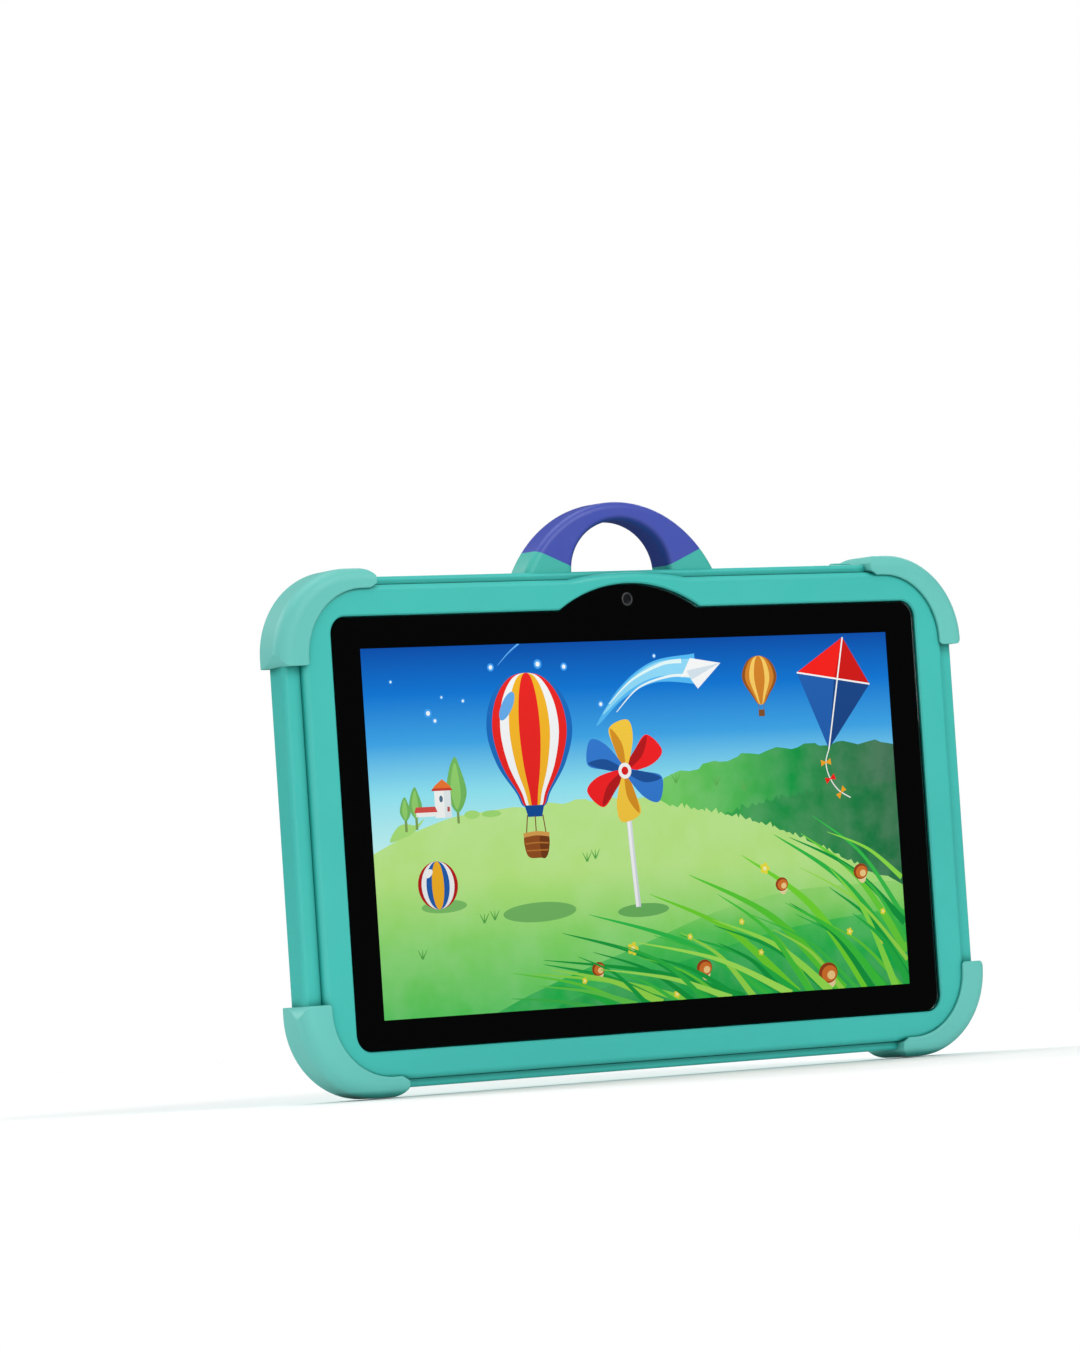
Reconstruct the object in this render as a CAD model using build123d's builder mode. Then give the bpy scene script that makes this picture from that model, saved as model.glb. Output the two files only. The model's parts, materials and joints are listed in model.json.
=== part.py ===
from build123d import *
import os
from math import acos, cos, degrees, radians, sin

# A rugged children's tablet: a hard two-part case with soft corner bumpers, a carry handle,
# a kickstand, three keys and the electronics inside.
# Millimetres. +X is to the right seen from the screen side, the screen faces -Y, +Z is up.
# The origin is on the surface that the tablet stands on, under the middle of the case.
# "Depth" is a place along Y. Sketch coordinates are measured from the middle of the case.

# ---------------------------------------------------------------- driving dimensions
BUMPER_W = 200.4
BUMPER_H = 122.4
BUMPER_R = 21.0
BUMPER_BACK_W = 194.4
BUMPER_LIP_W = 184.8
BUMPER_LIP_H = 112.8
BUMPER_LIP_R = 16.0
BUMPER_END_X = 72.5
BUMPER_END_Z = 39.0
BUMPER_END_R = 5.0
BUMPER_SIDE_END_R = 4.0
BUMPER_LIP_END_X = 74.6
BUMPER_LIP_CORNER_R = 1.2
BUMPER_ROUND = 3.2
BUMPER_LIP_ROUND = 0.5
BUMPER_BACK_STEP = 1.5

RIM_W = 195.6
RIM_H = 118.4
RIM_R = 19.5
BACK_W = 190.4
BACK_H = 115.2
BACK_R = 17.5
FACE_W = 187.0
FACE_H = 114.4
FACE_R = 17.0
FACE_ARCH_HALF = 17.0
FACE_ARCH_TOP = 58.7
FACE_ROUND = 1.4
CASE_FRONT_ROUND = 1.0
CASE_BACK_ROUND = 1.2
SEAT_GAP = 0.15
CAVITY_W = 186.4
CAVITY_H = 112.6
CAVITY_R = 16.6

DISPLAY_Z = -0.5
GLASS_Z = -0.26
GLASS_W = 171.0
GLASS_H = 100.3
GLASS_R = 4.0
GLASS_ARCH_HALF = 20.5
GLASS_ARCH_TOP = 55.9
GLASS_GAP = 0.15
GLASS_RIM_CHAMFER = 0.35
GLASS_EDGE_CHAMFER = 0.2
ACTIVE_W = 154.2
ACTIVE_H = 85.9

# Depths from the screen side to the back.
BUMPER_Y = 7.4
FACE_Y = -6.6
GLASS_Y = -6.0
GLASS_BACK_Y = -4.9
INK_BACK_Y = -4.8
RIM_FRONT_Y = -4.6
LEDGE_Y = -4.6
LCD_Y = -4.5
RIM_WIDE_Y = -3.4
LCD_BACK_Y = -3.2
SEAT_Y = -2.4
LIGHT_BACK_Y = -1.7
PLATE_Y = -1.6
PLATE_BACK_Y = -1.0
TAPE_BACK_Y = -0.8
BOARD_Y = 0.6
BOARD_BACK_Y = 1.6
BATTERY_BACK_Y = 1.9
POCKET_WALL_Y = 2.1
POCKET_Y = 3.3
INNER_BACK_Y = 4.5
BACK_Y = 5.9
PANEL_Y = 6.9

# Handle
HANDLE_TOP = 75.7
HANDLE_R = 31.4
HANDLE_GAP_HALF = 14.0
HANDLE_GAP_H = 12.0
HANDLE_DEPTH = 8.2
HANDLE_FOOT_Z = 56.9
HANDLE_ROUND = 1.8
HANDLE_CORE_SKIN = 1.3
HANDLE_CORE_DEPTH = 4.0
HANDLE_SCREW_X = 21.0
HANDLE_SCREW_L = 5.0
HANDLE_SCREW_SPARE = 0.2
HEX_R = 0.7
HEX_DEPTH = 0.6
GRIP_END_Z = 54.5
GRIP_END_SLOPE = 0.406

# Kickstand
FLAP_HALF = 40.7
FLAP_GAP = 1.0
FLAP_TOP = 14.0
FLAP_TOP_GAP = 0.4
FLAP_CORNER_R = 1.2
FLAP_EDGE_CHAMFER = 0.4
HINGE_Z = -38.0
HINGE_Y = 5.25
HINGE_R = 1.65
HINGE_GAP = 0.3
PIN_R = 0.8
PIN_RUNNING_GAP = 0.05
PIN_IN_FLAP = 2.6
PIN_END_X = 46.4
NOTCH_HALF = 30.5
NOTCH_TOP = 18.0
POCKET_WALL = 2.2
POCKET_WALL_TOP = 1.2
POCKET_WALL_LOW = 3.2
LUG_WALL = 0.6
LUG_HALF = 3.0
LUG_DEPTH = 2.2
FLAP_RIB_PITCH = (26.0, 21.5)
FLAP_RIB_HOLLOW = (23.6, 19.0)
FLAP_RIB_R = 1.5
FLAP_RIB_SHIFT = 0.5
FLAP_HOLLOW_DEPTH = 1.5

# Screws under the white plugs
SIDE_SCREW_X = 88.9
SIDE_SCREW_TOP_Z = 45.0
SIDE_SCREW_LOW_Z = -45.6
TOP_SCREW_X = 17.2
TOP_SCREW_Z = 53.1
PLUG_R = 2.35
PLUG_DEPTH = 1.1
PLUG_GAP = 0.05
PLUG_PROUD = 0.15
PLUG_ROUND = 0.3
SCREW_HEAD_R = 1.5
SCREW_HEAD_H = 0.9
SCREW_R = 0.8
SCREW_GAP = 0.1
SCREW_HOLE_SPARE = 0.5
SCREW_CROSS = (1.8, 0.4)
SCREW_CROSS_DEPTH = 0.5
BOSS_R = 2.1
BOSS_MEET_Y = 1.0
SCREW_TIP_Y = -2.0

# Small screws that hold the support plate and the board
SMALL_SCREW_R = 0.6
SMALL_HEAD_R = 1.3
SMALL_HEAD_H = 0.6
SMALL_SCREW_IN = 1.0
SMALL_HOLE_R = 0.8
POST_R = 1.7
STANDOFF_R = 1.8
PLATE_CORNER_R = 2.0
EAR_REACH = 2.2
EAR_HALF = 3.0

# Keys
KEY_Y = -0.2
KEY_H = 3.0
KEY_TRAVEL = 0.4
KEY_GAP = 0.2
KEY_PROUD = 1.2
KEY_ROUND = 0.8
KEY_FLANGE = 1.0
KEY_FLANGE_REACH = (1.6, 0.8)
VOLUME_KEY_L = 8.4
VOLUME_UP_Z = 34.0
VOLUME_DOWN_Z = 15.2
POWER_KEY_L = 6.6
POWER_KEY_X = 68.6
SWITCH_DEPTH = 2.9
SWITCH_HALF = 2.6
SWITCH_HEIGHT = 2.0
SWITCH_GAP = 0.2
WALL_CUT = 8.0

# Ports
USB_X = 46.8
USB_Y = 1.1
USB_W = 8.9
USB_H = 3.2
USB_L = 7.5
USB_MOUTH_Z = 57.8
USB_WALL = 0.3
USB_BACK = 1.2
USB_TONGUE = (6.7, 0.7)
USB_TONGUE_SHORT = 0.8
USB_HOLE_GAP = 0.25
JACK_ANGLE = 40.0
JACK_X = 91.5
JACK_Z = 54.5
JACK_Y = 1.4
JACK_BORE_R = 1.8
JACK_BODY_L = 9.6
JACK_BODY = (4.4, 5.0)
JACK_END_WALL = 1.0
JACK_COLLAR_R = 2.5
JACK_COLLAR_L = 5.2
JACK_WALL_R = 3.1
JACK_HOLE_R = 4.0
CARD_X = 85.3
CARD_LOW_Z = -21.2
CARD_TOP_Z = -5.8
CARD_FLOOR_Y = 1.9
CARD_SLOT_L = 11.6
CARD_SLOT_H = 1.3
CARD_SLOT_Y = 2.7
CARD_WALL = 1.6
CARD_SOCKET_X = 69.0
CARD_SOCKET_H = 1.9
CARD_SOCKET_HALF = 7.0
CARD_W = 11.4
CARD_H = 1.0

# Speakers
SPEAKER_SLOT_PITCH = 2.6
SPEAKER_SLOT_H = 1.3
SPEAKER_SLOT_COUNT = 5
SPEAKER_SLOT_TOP_Z = -37.2
SPEAKER_SLOT_IN_X = 46.0
SPEAKER_SLOT_OUT_X = 77.4
SPEAKER_SLOT_STEP = 2.0
SPEAKER_X = (48.0, 76.0)
SPEAKER_Z = (-49.4, -35.4)
SPEAKER_Y = (0.9, 4.2)
SPEAKER_CORNER_R = 2.0
MESH_SIZE = (30.0, 13.6)
MESH_THICK = 0.2

# Rear cameras
WINDOW_HALF = 13.6
WINDOW_CORNER_Z = 52.2
WINDOW_TOP = 56.2
WINDOW_LOW = 36.6
WINDOW_SIDE = (8.0, 44.4)
WINDOW_CORNER_R = 3.0
WINDOW_Y = 6.15
WINDOW_THICK = 0.8
WINDOW_GAP = 0.1
WINDOW_SEAT = 1.3
WINDOW_CHAMFER = 0.15
ISLAND_Y = 6.3
ISLAND_MARGIN = 1.3
CAMERA_UPPER_Z = 51.0
CAMERA_LOWER_Z = 43.4
CAMERA_SIZE = 7.2
CAMERA_Y = (0.2, 3.4, 4.6)
CAMERA_BARREL_R = 3.0
LENS_R = 1.7
LENS_DEPTH = 0.5
FLASH_X = 7.4
FLASH_SIZE = 3.6
FLASH_R = 1.3
FLASH_Y = (3.4, 4.2, 4.6)

# Front camera
FRONT_CAMERA_Z = 52.3
FRONT_CAMERA_SIZE = 5.6
FRONT_CAMERA_GAP = 0.2
FRONT_CAMERA_Y = (-3.6, -1.2)
FRONT_BARREL_R = 1.8
FRONT_LENS_R = 0.9
INK_CAMERA_R = 1.6
ADHESIVE_CAMERA_GAP = 0.5

# Display, plate and board
LCD_W = 160.5
LCD_H = 93.0
LIGHT_W = 163.8
LIGHT_H = 96.7
PLATE_W = 168.0
PLATE_H = 98.6
LIGHT_GAP = 0.4
LIGHT_CORNER_R = 1.5
INK_GAP = 0.2
ADHESIVE_GAP = 0.3
ADHESIVE_INNER = (1.6, 1.2)
FLEX_THICK = 0.15
FLEX_WIDE_X = (20.0, 62.0)
FLEX_TAIL_X = (48.0, 60.0)
FLEX_LOW_Z = -54.6
FLEX_WIDE_TOP_Z = -50.0
FLEX_END_Z = -24.2
SHIELD_X = (53.0, 75.0)
SHIELD_Z = (10.0, 38.0)
SHIELD_H = 1.8
SHIELD_WALL = 0.3
SHIELD_CORNER_R = 1.0
PROCESSOR_X = (57.0, 70.0)
PROCESSOR_Z = (16.0, 29.0)
PROCESSOR_H = 1.1
TAPE_MARGIN = 6.0
LEAD_RUN_X = (34.0, 43.0)
LEAD_PLUG_X = (41.0, 44.2)
LEAD_WIDTH = 1.0
LEAD_PLUG_L = 3.0
LEAD_Y = (0.0, 0.8)
BATTERY_ROUND = 0.8
PANEL_ROUND = 0.6
MIC_X = -20.0
MIC_HOLE_R = 0.5
MIC_HALF = (1.9, 1.4)
MIC_H = 1.2
ANTENNA_SIZE = (34.0, 9.0)
ANTENNA_PLACE = (-62.0, 48.0)
ANTENNA_CORNER_R = 1.0
FOIL_THICK = 0.2
TOUCH = 0.1


# ---------------------------------------------------------------- helpers
def at_depth(depth):
    """A plane facing the front at this depth, centred on the case, with its Y up."""
    return Plane(origin=(0, depth, BUMPER_H / 2), x_dir=(1, 0, 0), z_dir=(0, -1, 0))


def slab(width, height, radius, front, back, mode=Mode.ADD, centre=(0, 0)):
    """A rounded rectangle between two depths."""
    with BuildSketch(at_depth(back)) as profile:
        with Locations(centre):
            RectangleRounded(width, height, radius)
    extrude(profile.sketch, amount=back - front, mode=mode)


def block(x_range, z_range, front, back, mode=Mode.ADD):
    """A plain block given by its limits in X and Z and two depths."""
    with BuildSketch(at_depth(back)) as profile:
        with Locations((sum(x_range) / 2, sum(z_range) / 2)):
            Rectangle(x_range[1] - x_range[0], z_range[1] - z_range[0])
    extrude(profile.sketch, amount=back - front, mode=mode)


def rods(centres, radius, front, back, mode=Mode.ADD):
    """Round rods or holes at these places between two depths."""
    with BuildSketch(at_depth(back)) as profile:
        with Locations(*centres):
            Circle(radius)
    extrude(profile.sketch, amount=back - front, mode=mode)


def arch(half_width, base, top):
    """A low circular arch that joins the top of a sketch."""
    with BuildLine() as outline:
        ThreePointArc((-half_width, base), (0, top), (half_width, base))
        Polyline((half_width, base), (half_width, base - 2), (-half_width, base - 2), (-half_width, base))
    make_face(outline.edges())


def glass_shape(gap):
    """The cover glass outline with its camera arch, grown by a gap."""
    with Locations((0, GLASS_Z)):
        RectangleRounded(GLASS_W + 2 * gap, GLASS_H + 2 * gap, GLASS_R + gap)
    arch(GLASS_ARCH_HALF + gap, GLASS_Z + GLASS_H / 2 + gap, GLASS_ARCH_TOP + gap)


def window_shape(gap):
    """The rear camera window: a rounded triangle that points down, with a bowed top."""
    corner = (WINDOW_HALF, WINDOW_CORNER_Z)
    with BuildLine() as outline:
        ThreePointArc((-WINDOW_HALF, WINDOW_CORNER_Z), (0, WINDOW_TOP), corner)
        ThreePointArc(corner, WINDOW_SIDE, (0, WINDOW_LOW))
        ThreePointArc((0, WINDOW_LOW), (-WINDOW_SIDE[0], WINDOW_SIDE[1]), (-WINDOW_HALF, WINDOW_CORNER_Z))
    make_face(outline.edges())
    fillet(vertices(), WINDOW_CORNER_R)
    if gap:
        offset(amount=gap, kind=Kind.ARC, mode=Mode.REPLACE)


def mirrored(points):
    """A right-hand half outline and its mirror image, as one closed run of points."""
    return points + [(-x, z) for x, z in reversed(points)]


def export(part, name):
    """Labels a finished piece and writes it as a STEP file."""
    part.label = name
    export_step(part, f"parts/{name}.step")


os.makedirs("parts", exist_ok=True)

SIDE_SCREWS = [(sx * SIDE_SCREW_X, z) for sx in (-1, 1) for z in (SIDE_SCREW_TOP_Z, SIDE_SCREW_LOW_Z)]
TOP_SCREWS = [(sx * TOP_SCREW_X, TOP_SCREW_Z) for sx in (-1, 1)]
SCREWS = SIDE_SCREWS + TOP_SCREWS
SCREW_HEAD_BACK_Y = BACK_Y - PLUG_DEPTH - SCREW_GAP

# ---------------------------------------------------------------- case envelope
# The outside of the rear shell before anything is cut into it.
with BuildPart() as shell_envelope:
    with BuildSketch(at_depth(RIM_WIDE_Y)):
        RectangleRounded(RIM_W, RIM_H, RIM_R)
    with BuildSketch(at_depth(BACK_Y)):
        RectangleRounded(BACK_W, BACK_H, BACK_R)
    loft(ruled=True)
    slab(RIM_W, RIM_H, RIM_R, RIM_FRONT_Y, RIM_WIDE_Y)
    fillet(faces().sort_by(Axis.Y)[0].edges(), CASE_FRONT_ROUND)
    fillet(faces().sort_by(Axis.Y)[-1].edges(), CASE_BACK_ROUND)

# ---------------------------------------------------------------- front frame
FRAME_POST_X = 84.6
FRAME_POST_Z = 28.0
FRAME_POSTS = [(sx * FRAME_POST_X, sz * FRAME_POST_Z) for sx in (-1, 1) for sz in (-1, 1)]

with BuildPart() as front_frame:
    with BuildSketch(at_depth(RIM_FRONT_Y)):
        RectangleRounded(FACE_W, FACE_H, FACE_R)
        arch(FACE_ARCH_HALF, FACE_H / 2, FACE_ARCH_TOP)
    extrude(amount=RIM_FRONT_Y - FACE_Y)
    fillet(faces().sort_by(Axis.Y)[0].edges(), FACE_ROUND)
    slab(FACE_W, FACE_H, FACE_R, RIM_FRONT_Y, SEAT_Y)
    with BuildSketch(at_depth(LEDGE_Y)):
        glass_shape(GLASS_GAP)
    extrude(amount=LEDGE_Y - FACE_Y, mode=Mode.SUBTRACT)
    pocket_rim = edges().filter_by_position(Axis.Y, FACE_Y - TOUCH, FACE_Y + TOUCH)
    chamfer(pocket_rim.filter_by(lambda e: abs(e.center().X) < GLASS_W / 2 + 1), GLASS_RIM_CHAMFER)
    light_hole = (LIGHT_W + 2 * LIGHT_GAP, LIGHT_H + 2 * LIGHT_GAP)
    slab(*light_hole, LIGHT_CORNER_R, LEDGE_Y, SEAT_Y, Mode.SUBTRACT, (0, DISPLAY_Z))
    half = FRONT_CAMERA_SIZE / 2 + FRONT_CAMERA_GAP
    block((-half, half), (FRONT_CAMERA_Z - half, FRONT_CAMERA_Z + half), LEDGE_Y, SEAT_Y, Mode.SUBTRACT)
    rods(SCREWS, BOSS_R, SEAT_Y, BOSS_MEET_Y)
    rods(FRAME_POSTS, POST_R, SEAT_Y, PLATE_Y)
    rods(SCREWS, SCREW_R, SCREW_TIP_Y - SCREW_HOLE_SPARE, BOSS_MEET_Y, Mode.SUBTRACT)
    rods(FRAME_POSTS, SMALL_SCREW_R, SEAT_Y - SMALL_SCREW_IN - TOUCH, PLATE_Y, Mode.SUBTRACT)
export(front_frame.part, "front_frame")

# ---------------------------------------------------------------- rear shell
# Half outline of the raised hourglass panel, from the camera notch round to the bottom.
PANEL_HALF = [
    (12.6, 34.6),
    (27.6, 52.2),
    (85.6, 52.2),
    (85.6, 25.2),
    (54.2, 9.6),
    (54.2, -20.2),
    (85.6, -35.2),
    (85.6, -53.4),
]
PANEL_R = 4.0
GROOVE_X = FLAP_HALF + FLAP_GAP / 2
GROOVE_W = 1.0
GROOVE_DEPTH = 0.8
GROOVE_BEND_Z = 29.0
GROOVE_TURN = (46.6, 43.4)
GROOVE_TOP = (50.4, 52.6)
SIDE_LINE_X = 93.3
SIDE_LINE_W = 0.5
SIDE_LINE_HALF = 38.0
HANDLE_SCREWS = [(sx * HANDLE_SCREW_X, 0) for sx in (-1, 1)]


def groove(side):
    """One of the two engraved lines that run up from the kickstand."""
    with BuildLine() as path:
        rise = Line((side * GROOVE_X, FLAP_TOP), (side * GROOVE_X, GROOVE_BEND_Z))
        swell = TangentArc(rise @ 1, (side * GROOVE_TURN[0], GROOVE_TURN[1]), tangent=rise % 1)
        TangentArc(swell @ 1, (side * GROOVE_TOP[0], GROOVE_TOP[1]), tangent=swell % 1)
    trace(path.line, line_width=GROOVE_W)


def jack_plane(distance):
    """The plane across the audio jack's axis, this far out from the rim."""
    out = Vector(cos(radians(JACK_ANGLE)), 0, sin(radians(JACK_ANGLE)))
    mouth = Vector(JACK_X, JACK_Y, BUMPER_H / 2 + JACK_Z)
    return Plane(origin=mouth + out * distance, x_dir=(0, 1, 0), z_dir=out)


def speaker_slots():
    """Five sound slots on each side, longest in the middle."""
    middle = SPEAKER_SLOT_COUNT // 2
    for row in range(SPEAKER_SLOT_COUNT):
        out_x = SPEAKER_SLOT_OUT_X - SPEAKER_SLOT_STEP * abs(row - middle)
        z = SPEAKER_SLOT_TOP_Z - SPEAKER_SLOT_PITCH * row
        for side in (-1, 1):
            with Locations((side * (out_x + SPEAKER_SLOT_IN_X) / 2, z)):
                SlotOverall(out_x - SPEAKER_SLOT_IN_X, SPEAKER_SLOT_H)


with BuildPart() as rear_shell:
    add(shell_envelope.part)
    # Raised panel and the island round the camera window.
    with BuildSketch(at_depth(PANEL_Y)):
        with BuildLine():
            Polyline(*mirrored(PANEL_HALF), close=True)
        make_face()
        fillet(vertices(), PANEL_R)
    extrude(amount=PANEL_Y - BACK_Y + TOUCH)
    fillet(faces().sort_by(Axis.Y)[-1].edges(), PANEL_ROUND)
    with BuildSketch(at_depth(ISLAND_Y)):
        window_shape(ISLAND_MARGIN)
    extrude(amount=ISLAND_Y - INNER_BACK_Y)
    # The hollow, with the wider seat that the front frame drops into.
    slab(FACE_W + 2 * SEAT_GAP, FACE_H + 2 * SEAT_GAP, FACE_R, RIM_FRONT_Y, SEAT_Y, Mode.SUBTRACT)
    slab(CAVITY_W, CAVITY_H, CAVITY_R, SEAT_Y, INNER_BACK_Y, Mode.SUBTRACT)
    # Kickstand pocket with its finger notch, floor and hinge lugs.
    pocket_half = FLAP_HALF + POCKET_WALL
    block(
        (-pocket_half, pocket_half), (HINGE_Z - POCKET_WALL_LOW, NOTCH_TOP + POCKET_WALL_TOP),
        POCKET_WALL_Y, INNER_BACK_Y,
    )
    for side in (-1, 1):
        x_range = sorted((side * pocket_half, side * (PIN_END_X + LUG_WALL)))
        block(x_range, (HINGE_Z - LUG_HALF, HINGE_Z + LUG_HALF), HINGE_Y - LUG_DEPTH, INNER_BACK_Y)
    block(
        (-FLAP_HALF - FLAP_GAP, FLAP_HALF + FLAP_GAP),
        (HINGE_Z - HINGE_R - HINGE_GAP, FLAP_TOP + FLAP_TOP_GAP),
        POCKET_Y, PANEL_Y, Mode.SUBTRACT,
    )
    block((-NOTCH_HALF, NOTCH_HALF), (FLAP_TOP, NOTCH_TOP), POCKET_Y, PANEL_Y, Mode.SUBTRACT)
    # Engraved lines.
    with BuildSketch(at_depth(PANEL_Y)):
        groove(-1)
        groove(1)
    extrude(amount=GROOVE_DEPTH, mode=Mode.SUBTRACT)
    for side in (-1, 1):
        x = side * SIDE_LINE_X
        block((x - SIDE_LINE_W / 2, x + SIDE_LINE_W / 2), (-SIDE_LINE_HALF, SIDE_LINE_HALF),
              BACK_Y - SIDE_LINE_W, BACK_Y, Mode.SUBTRACT)
    # Speaker slots.
    with BuildSketch(at_depth(PANEL_Y)):
        speaker_slots()
    extrude(amount=PANEL_Y - INNER_BACK_Y, mode=Mode.SUBTRACT)
    # Screw bosses, with the counterbores that the plugs close.
    rods(SCREWS, BOSS_R, BOSS_MEET_Y, INNER_BACK_Y)
    rods(SCREWS, PLUG_R + PLUG_GAP, BACK_Y - PLUG_DEPTH, PANEL_Y, Mode.SUBTRACT)
    rods(SCREWS, SCREW_HEAD_R + SCREW_GAP, SCREW_HEAD_BACK_Y - SCREW_HEAD_H, BACK_Y, Mode.SUBTRACT)
    rods(SCREWS, SCREW_R + SCREW_GAP, BOSS_MEET_Y, BACK_Y, Mode.SUBTRACT)
    # Camera window seat and the opening behind it.
    with BuildSketch(at_depth(ISLAND_Y)):
        window_shape(WINDOW_GAP)
    extrude(amount=ISLAND_Y - WINDOW_Y + WINDOW_THICK, mode=Mode.SUBTRACT)
    with BuildSketch(at_depth(ISLAND_Y)):
        window_shape(-WINDOW_SEAT)
    extrude(amount=ISLAND_Y - INNER_BACK_Y + TOUCH, mode=Mode.SUBTRACT)
    # Scooped card bay in the right-hand side, with the card slot in its end wall.
    block(
        (CARD_X - CARD_WALL, CAVITY_W / 2 + 1), (CARD_LOW_Z - CARD_WALL, CARD_TOP_Z + CARD_WALL),
        CARD_FLOOR_Y - CARD_WALL, INNER_BACK_Y,
    )
    block((CARD_X, RIM_W / 2), (CARD_LOW_Z, CARD_TOP_Z), CARD_FLOOR_Y, PANEL_Y, Mode.SUBTRACT)
    slot_z = (CARD_LOW_Z + CARD_TOP_Z) / 2
    block(
        (CARD_X - 2 * CARD_WALL, CARD_X + 1), (slot_z - CARD_SLOT_L / 2, slot_z + CARD_SLOT_L / 2),
        CARD_SLOT_Y - CARD_SLOT_H / 2, CARD_SLOT_Y + CARD_SLOT_H / 2, Mode.SUBTRACT,
    )
    # Key slots in the side and top walls.
    for z in (VOLUME_UP_Z, VOLUME_DOWN_Z):
        wall = Plane(origin=(CAVITY_W / 2 - 1, KEY_Y, BUMPER_H / 2 + z), x_dir=(0, 0, 1), z_dir=(1, 0, 0))
        with BuildSketch(wall):
            SlotOverall(VOLUME_KEY_L + 2 * KEY_GAP, KEY_H + 2 * KEY_GAP)
        extrude(amount=WALL_CUT, mode=Mode.SUBTRACT)
    with BuildSketch(Plane(origin=(POWER_KEY_X, KEY_Y, BUMPER_H / 2 + CAVITY_H / 2 - 1), x_dir=(1, 0, 0))):
        SlotOverall(POWER_KEY_L + 2 * KEY_GAP, KEY_H + 2 * KEY_GAP)
    extrude(amount=WALL_CUT, mode=Mode.SUBTRACT)
    # Charging port, handle screws and microphone in the top and bottom walls.
    with BuildSketch(Plane(origin=(USB_X, USB_Y, BUMPER_H / 2 + CAVITY_H / 2 - 1), x_dir=(1, 0, 0))):
        SlotOverall(USB_W + 2 * USB_HOLE_GAP, USB_H + 2 * USB_HOLE_GAP)
    extrude(amount=WALL_CUT, mode=Mode.SUBTRACT)
    with BuildSketch(Plane.XY.offset(BUMPER_H / 2 + CAVITY_H / 2 - 1)):
        with Locations(*HANDLE_SCREWS):
            Circle(SCREW_R + SCREW_GAP)
    extrude(amount=WALL_CUT, mode=Mode.SUBTRACT)
    with BuildSketch(Plane.XY.offset(0)):
        with Locations((MIC_X, BOARD_Y)):
            Circle(MIC_HOLE_R)
    extrude(amount=BUMPER_H / 2 - CAVITY_H / 2 + 1, mode=Mode.SUBTRACT)
    # Audio jack hole through the corner.
    with BuildSketch(jack_plane(-6)):
        Circle(JACK_WALL_R)
    extrude(amount=12, mode=Mode.SUBTRACT)
    # Pressed seats of the hinge pins.
    for side in (-1, 1):
        start = Plane(origin=(side * (FLAP_HALF + FLAP_GAP / 2), HINGE_Y, BUMPER_H / 2 + HINGE_Z),
                      x_dir=(0, 1, 0), z_dir=(side, 0, 0))
        with BuildSketch(start):
            Circle(PIN_R)
        extrude(amount=PIN_END_X + LUG_WALL - FLAP_HALF - FLAP_GAP / 2, mode=Mode.SUBTRACT)
export(rear_shell.part, "rear_shell")

# ---------------------------------------------------------------- corner bumpers
with BuildPart() as bumper_ring:
    with BuildSketch(at_depth(RIM_WIDE_Y)):
        RectangleRounded(BUMPER_W, BUMPER_H, BUMPER_R)
    with BuildSketch(at_depth(BUMPER_Y)):
        RectangleRounded(BUMPER_BACK_W, BUMPER_H, BUMPER_R - BUMPER_BACK_STEP)
    loft(ruled=True)
    slab(BUMPER_W, BUMPER_H, BUMPER_R, -BUMPER_Y, RIM_WIDE_Y)
    fillet(faces().sort_by(Axis.Y)[0].edges(), BUMPER_ROUND)
    fillet(faces().sort_by(Axis.Y)[-1].edges(), BUMPER_ROUND)
    slab(BUMPER_LIP_W, BUMPER_LIP_H, BUMPER_LIP_R, -BUMPER_Y, BUMPER_Y, Mode.SUBTRACT)
    lips = edges().filter_by_position(Axis.Y, -BUMPER_Y - TOUCH, -BUMPER_Y + TOUCH)
    lips += edges().filter_by_position(Axis.Y, BUMPER_Y - TOUCH, BUMPER_Y + TOUCH)
    inner_lips = lips.filter_by(lambda e: abs(e.center().X) < BUMPER_LIP_W / 2 + TOUCH
                                and abs(e.center().Z - BUMPER_H / 2) < BUMPER_LIP_H / 2 + TOUCH)
    fillet(inner_lips, BUMPER_LIP_ROUND)
    add(shell_envelope.part, mode=Mode.SUBTRACT)
    with BuildSketch(at_depth(SEAT_Y)):
        RectangleRounded(FACE_W, FACE_H, FACE_R)
    extrude(amount=SEAT_Y - FACE_Y, mode=Mode.SUBTRACT)


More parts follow.
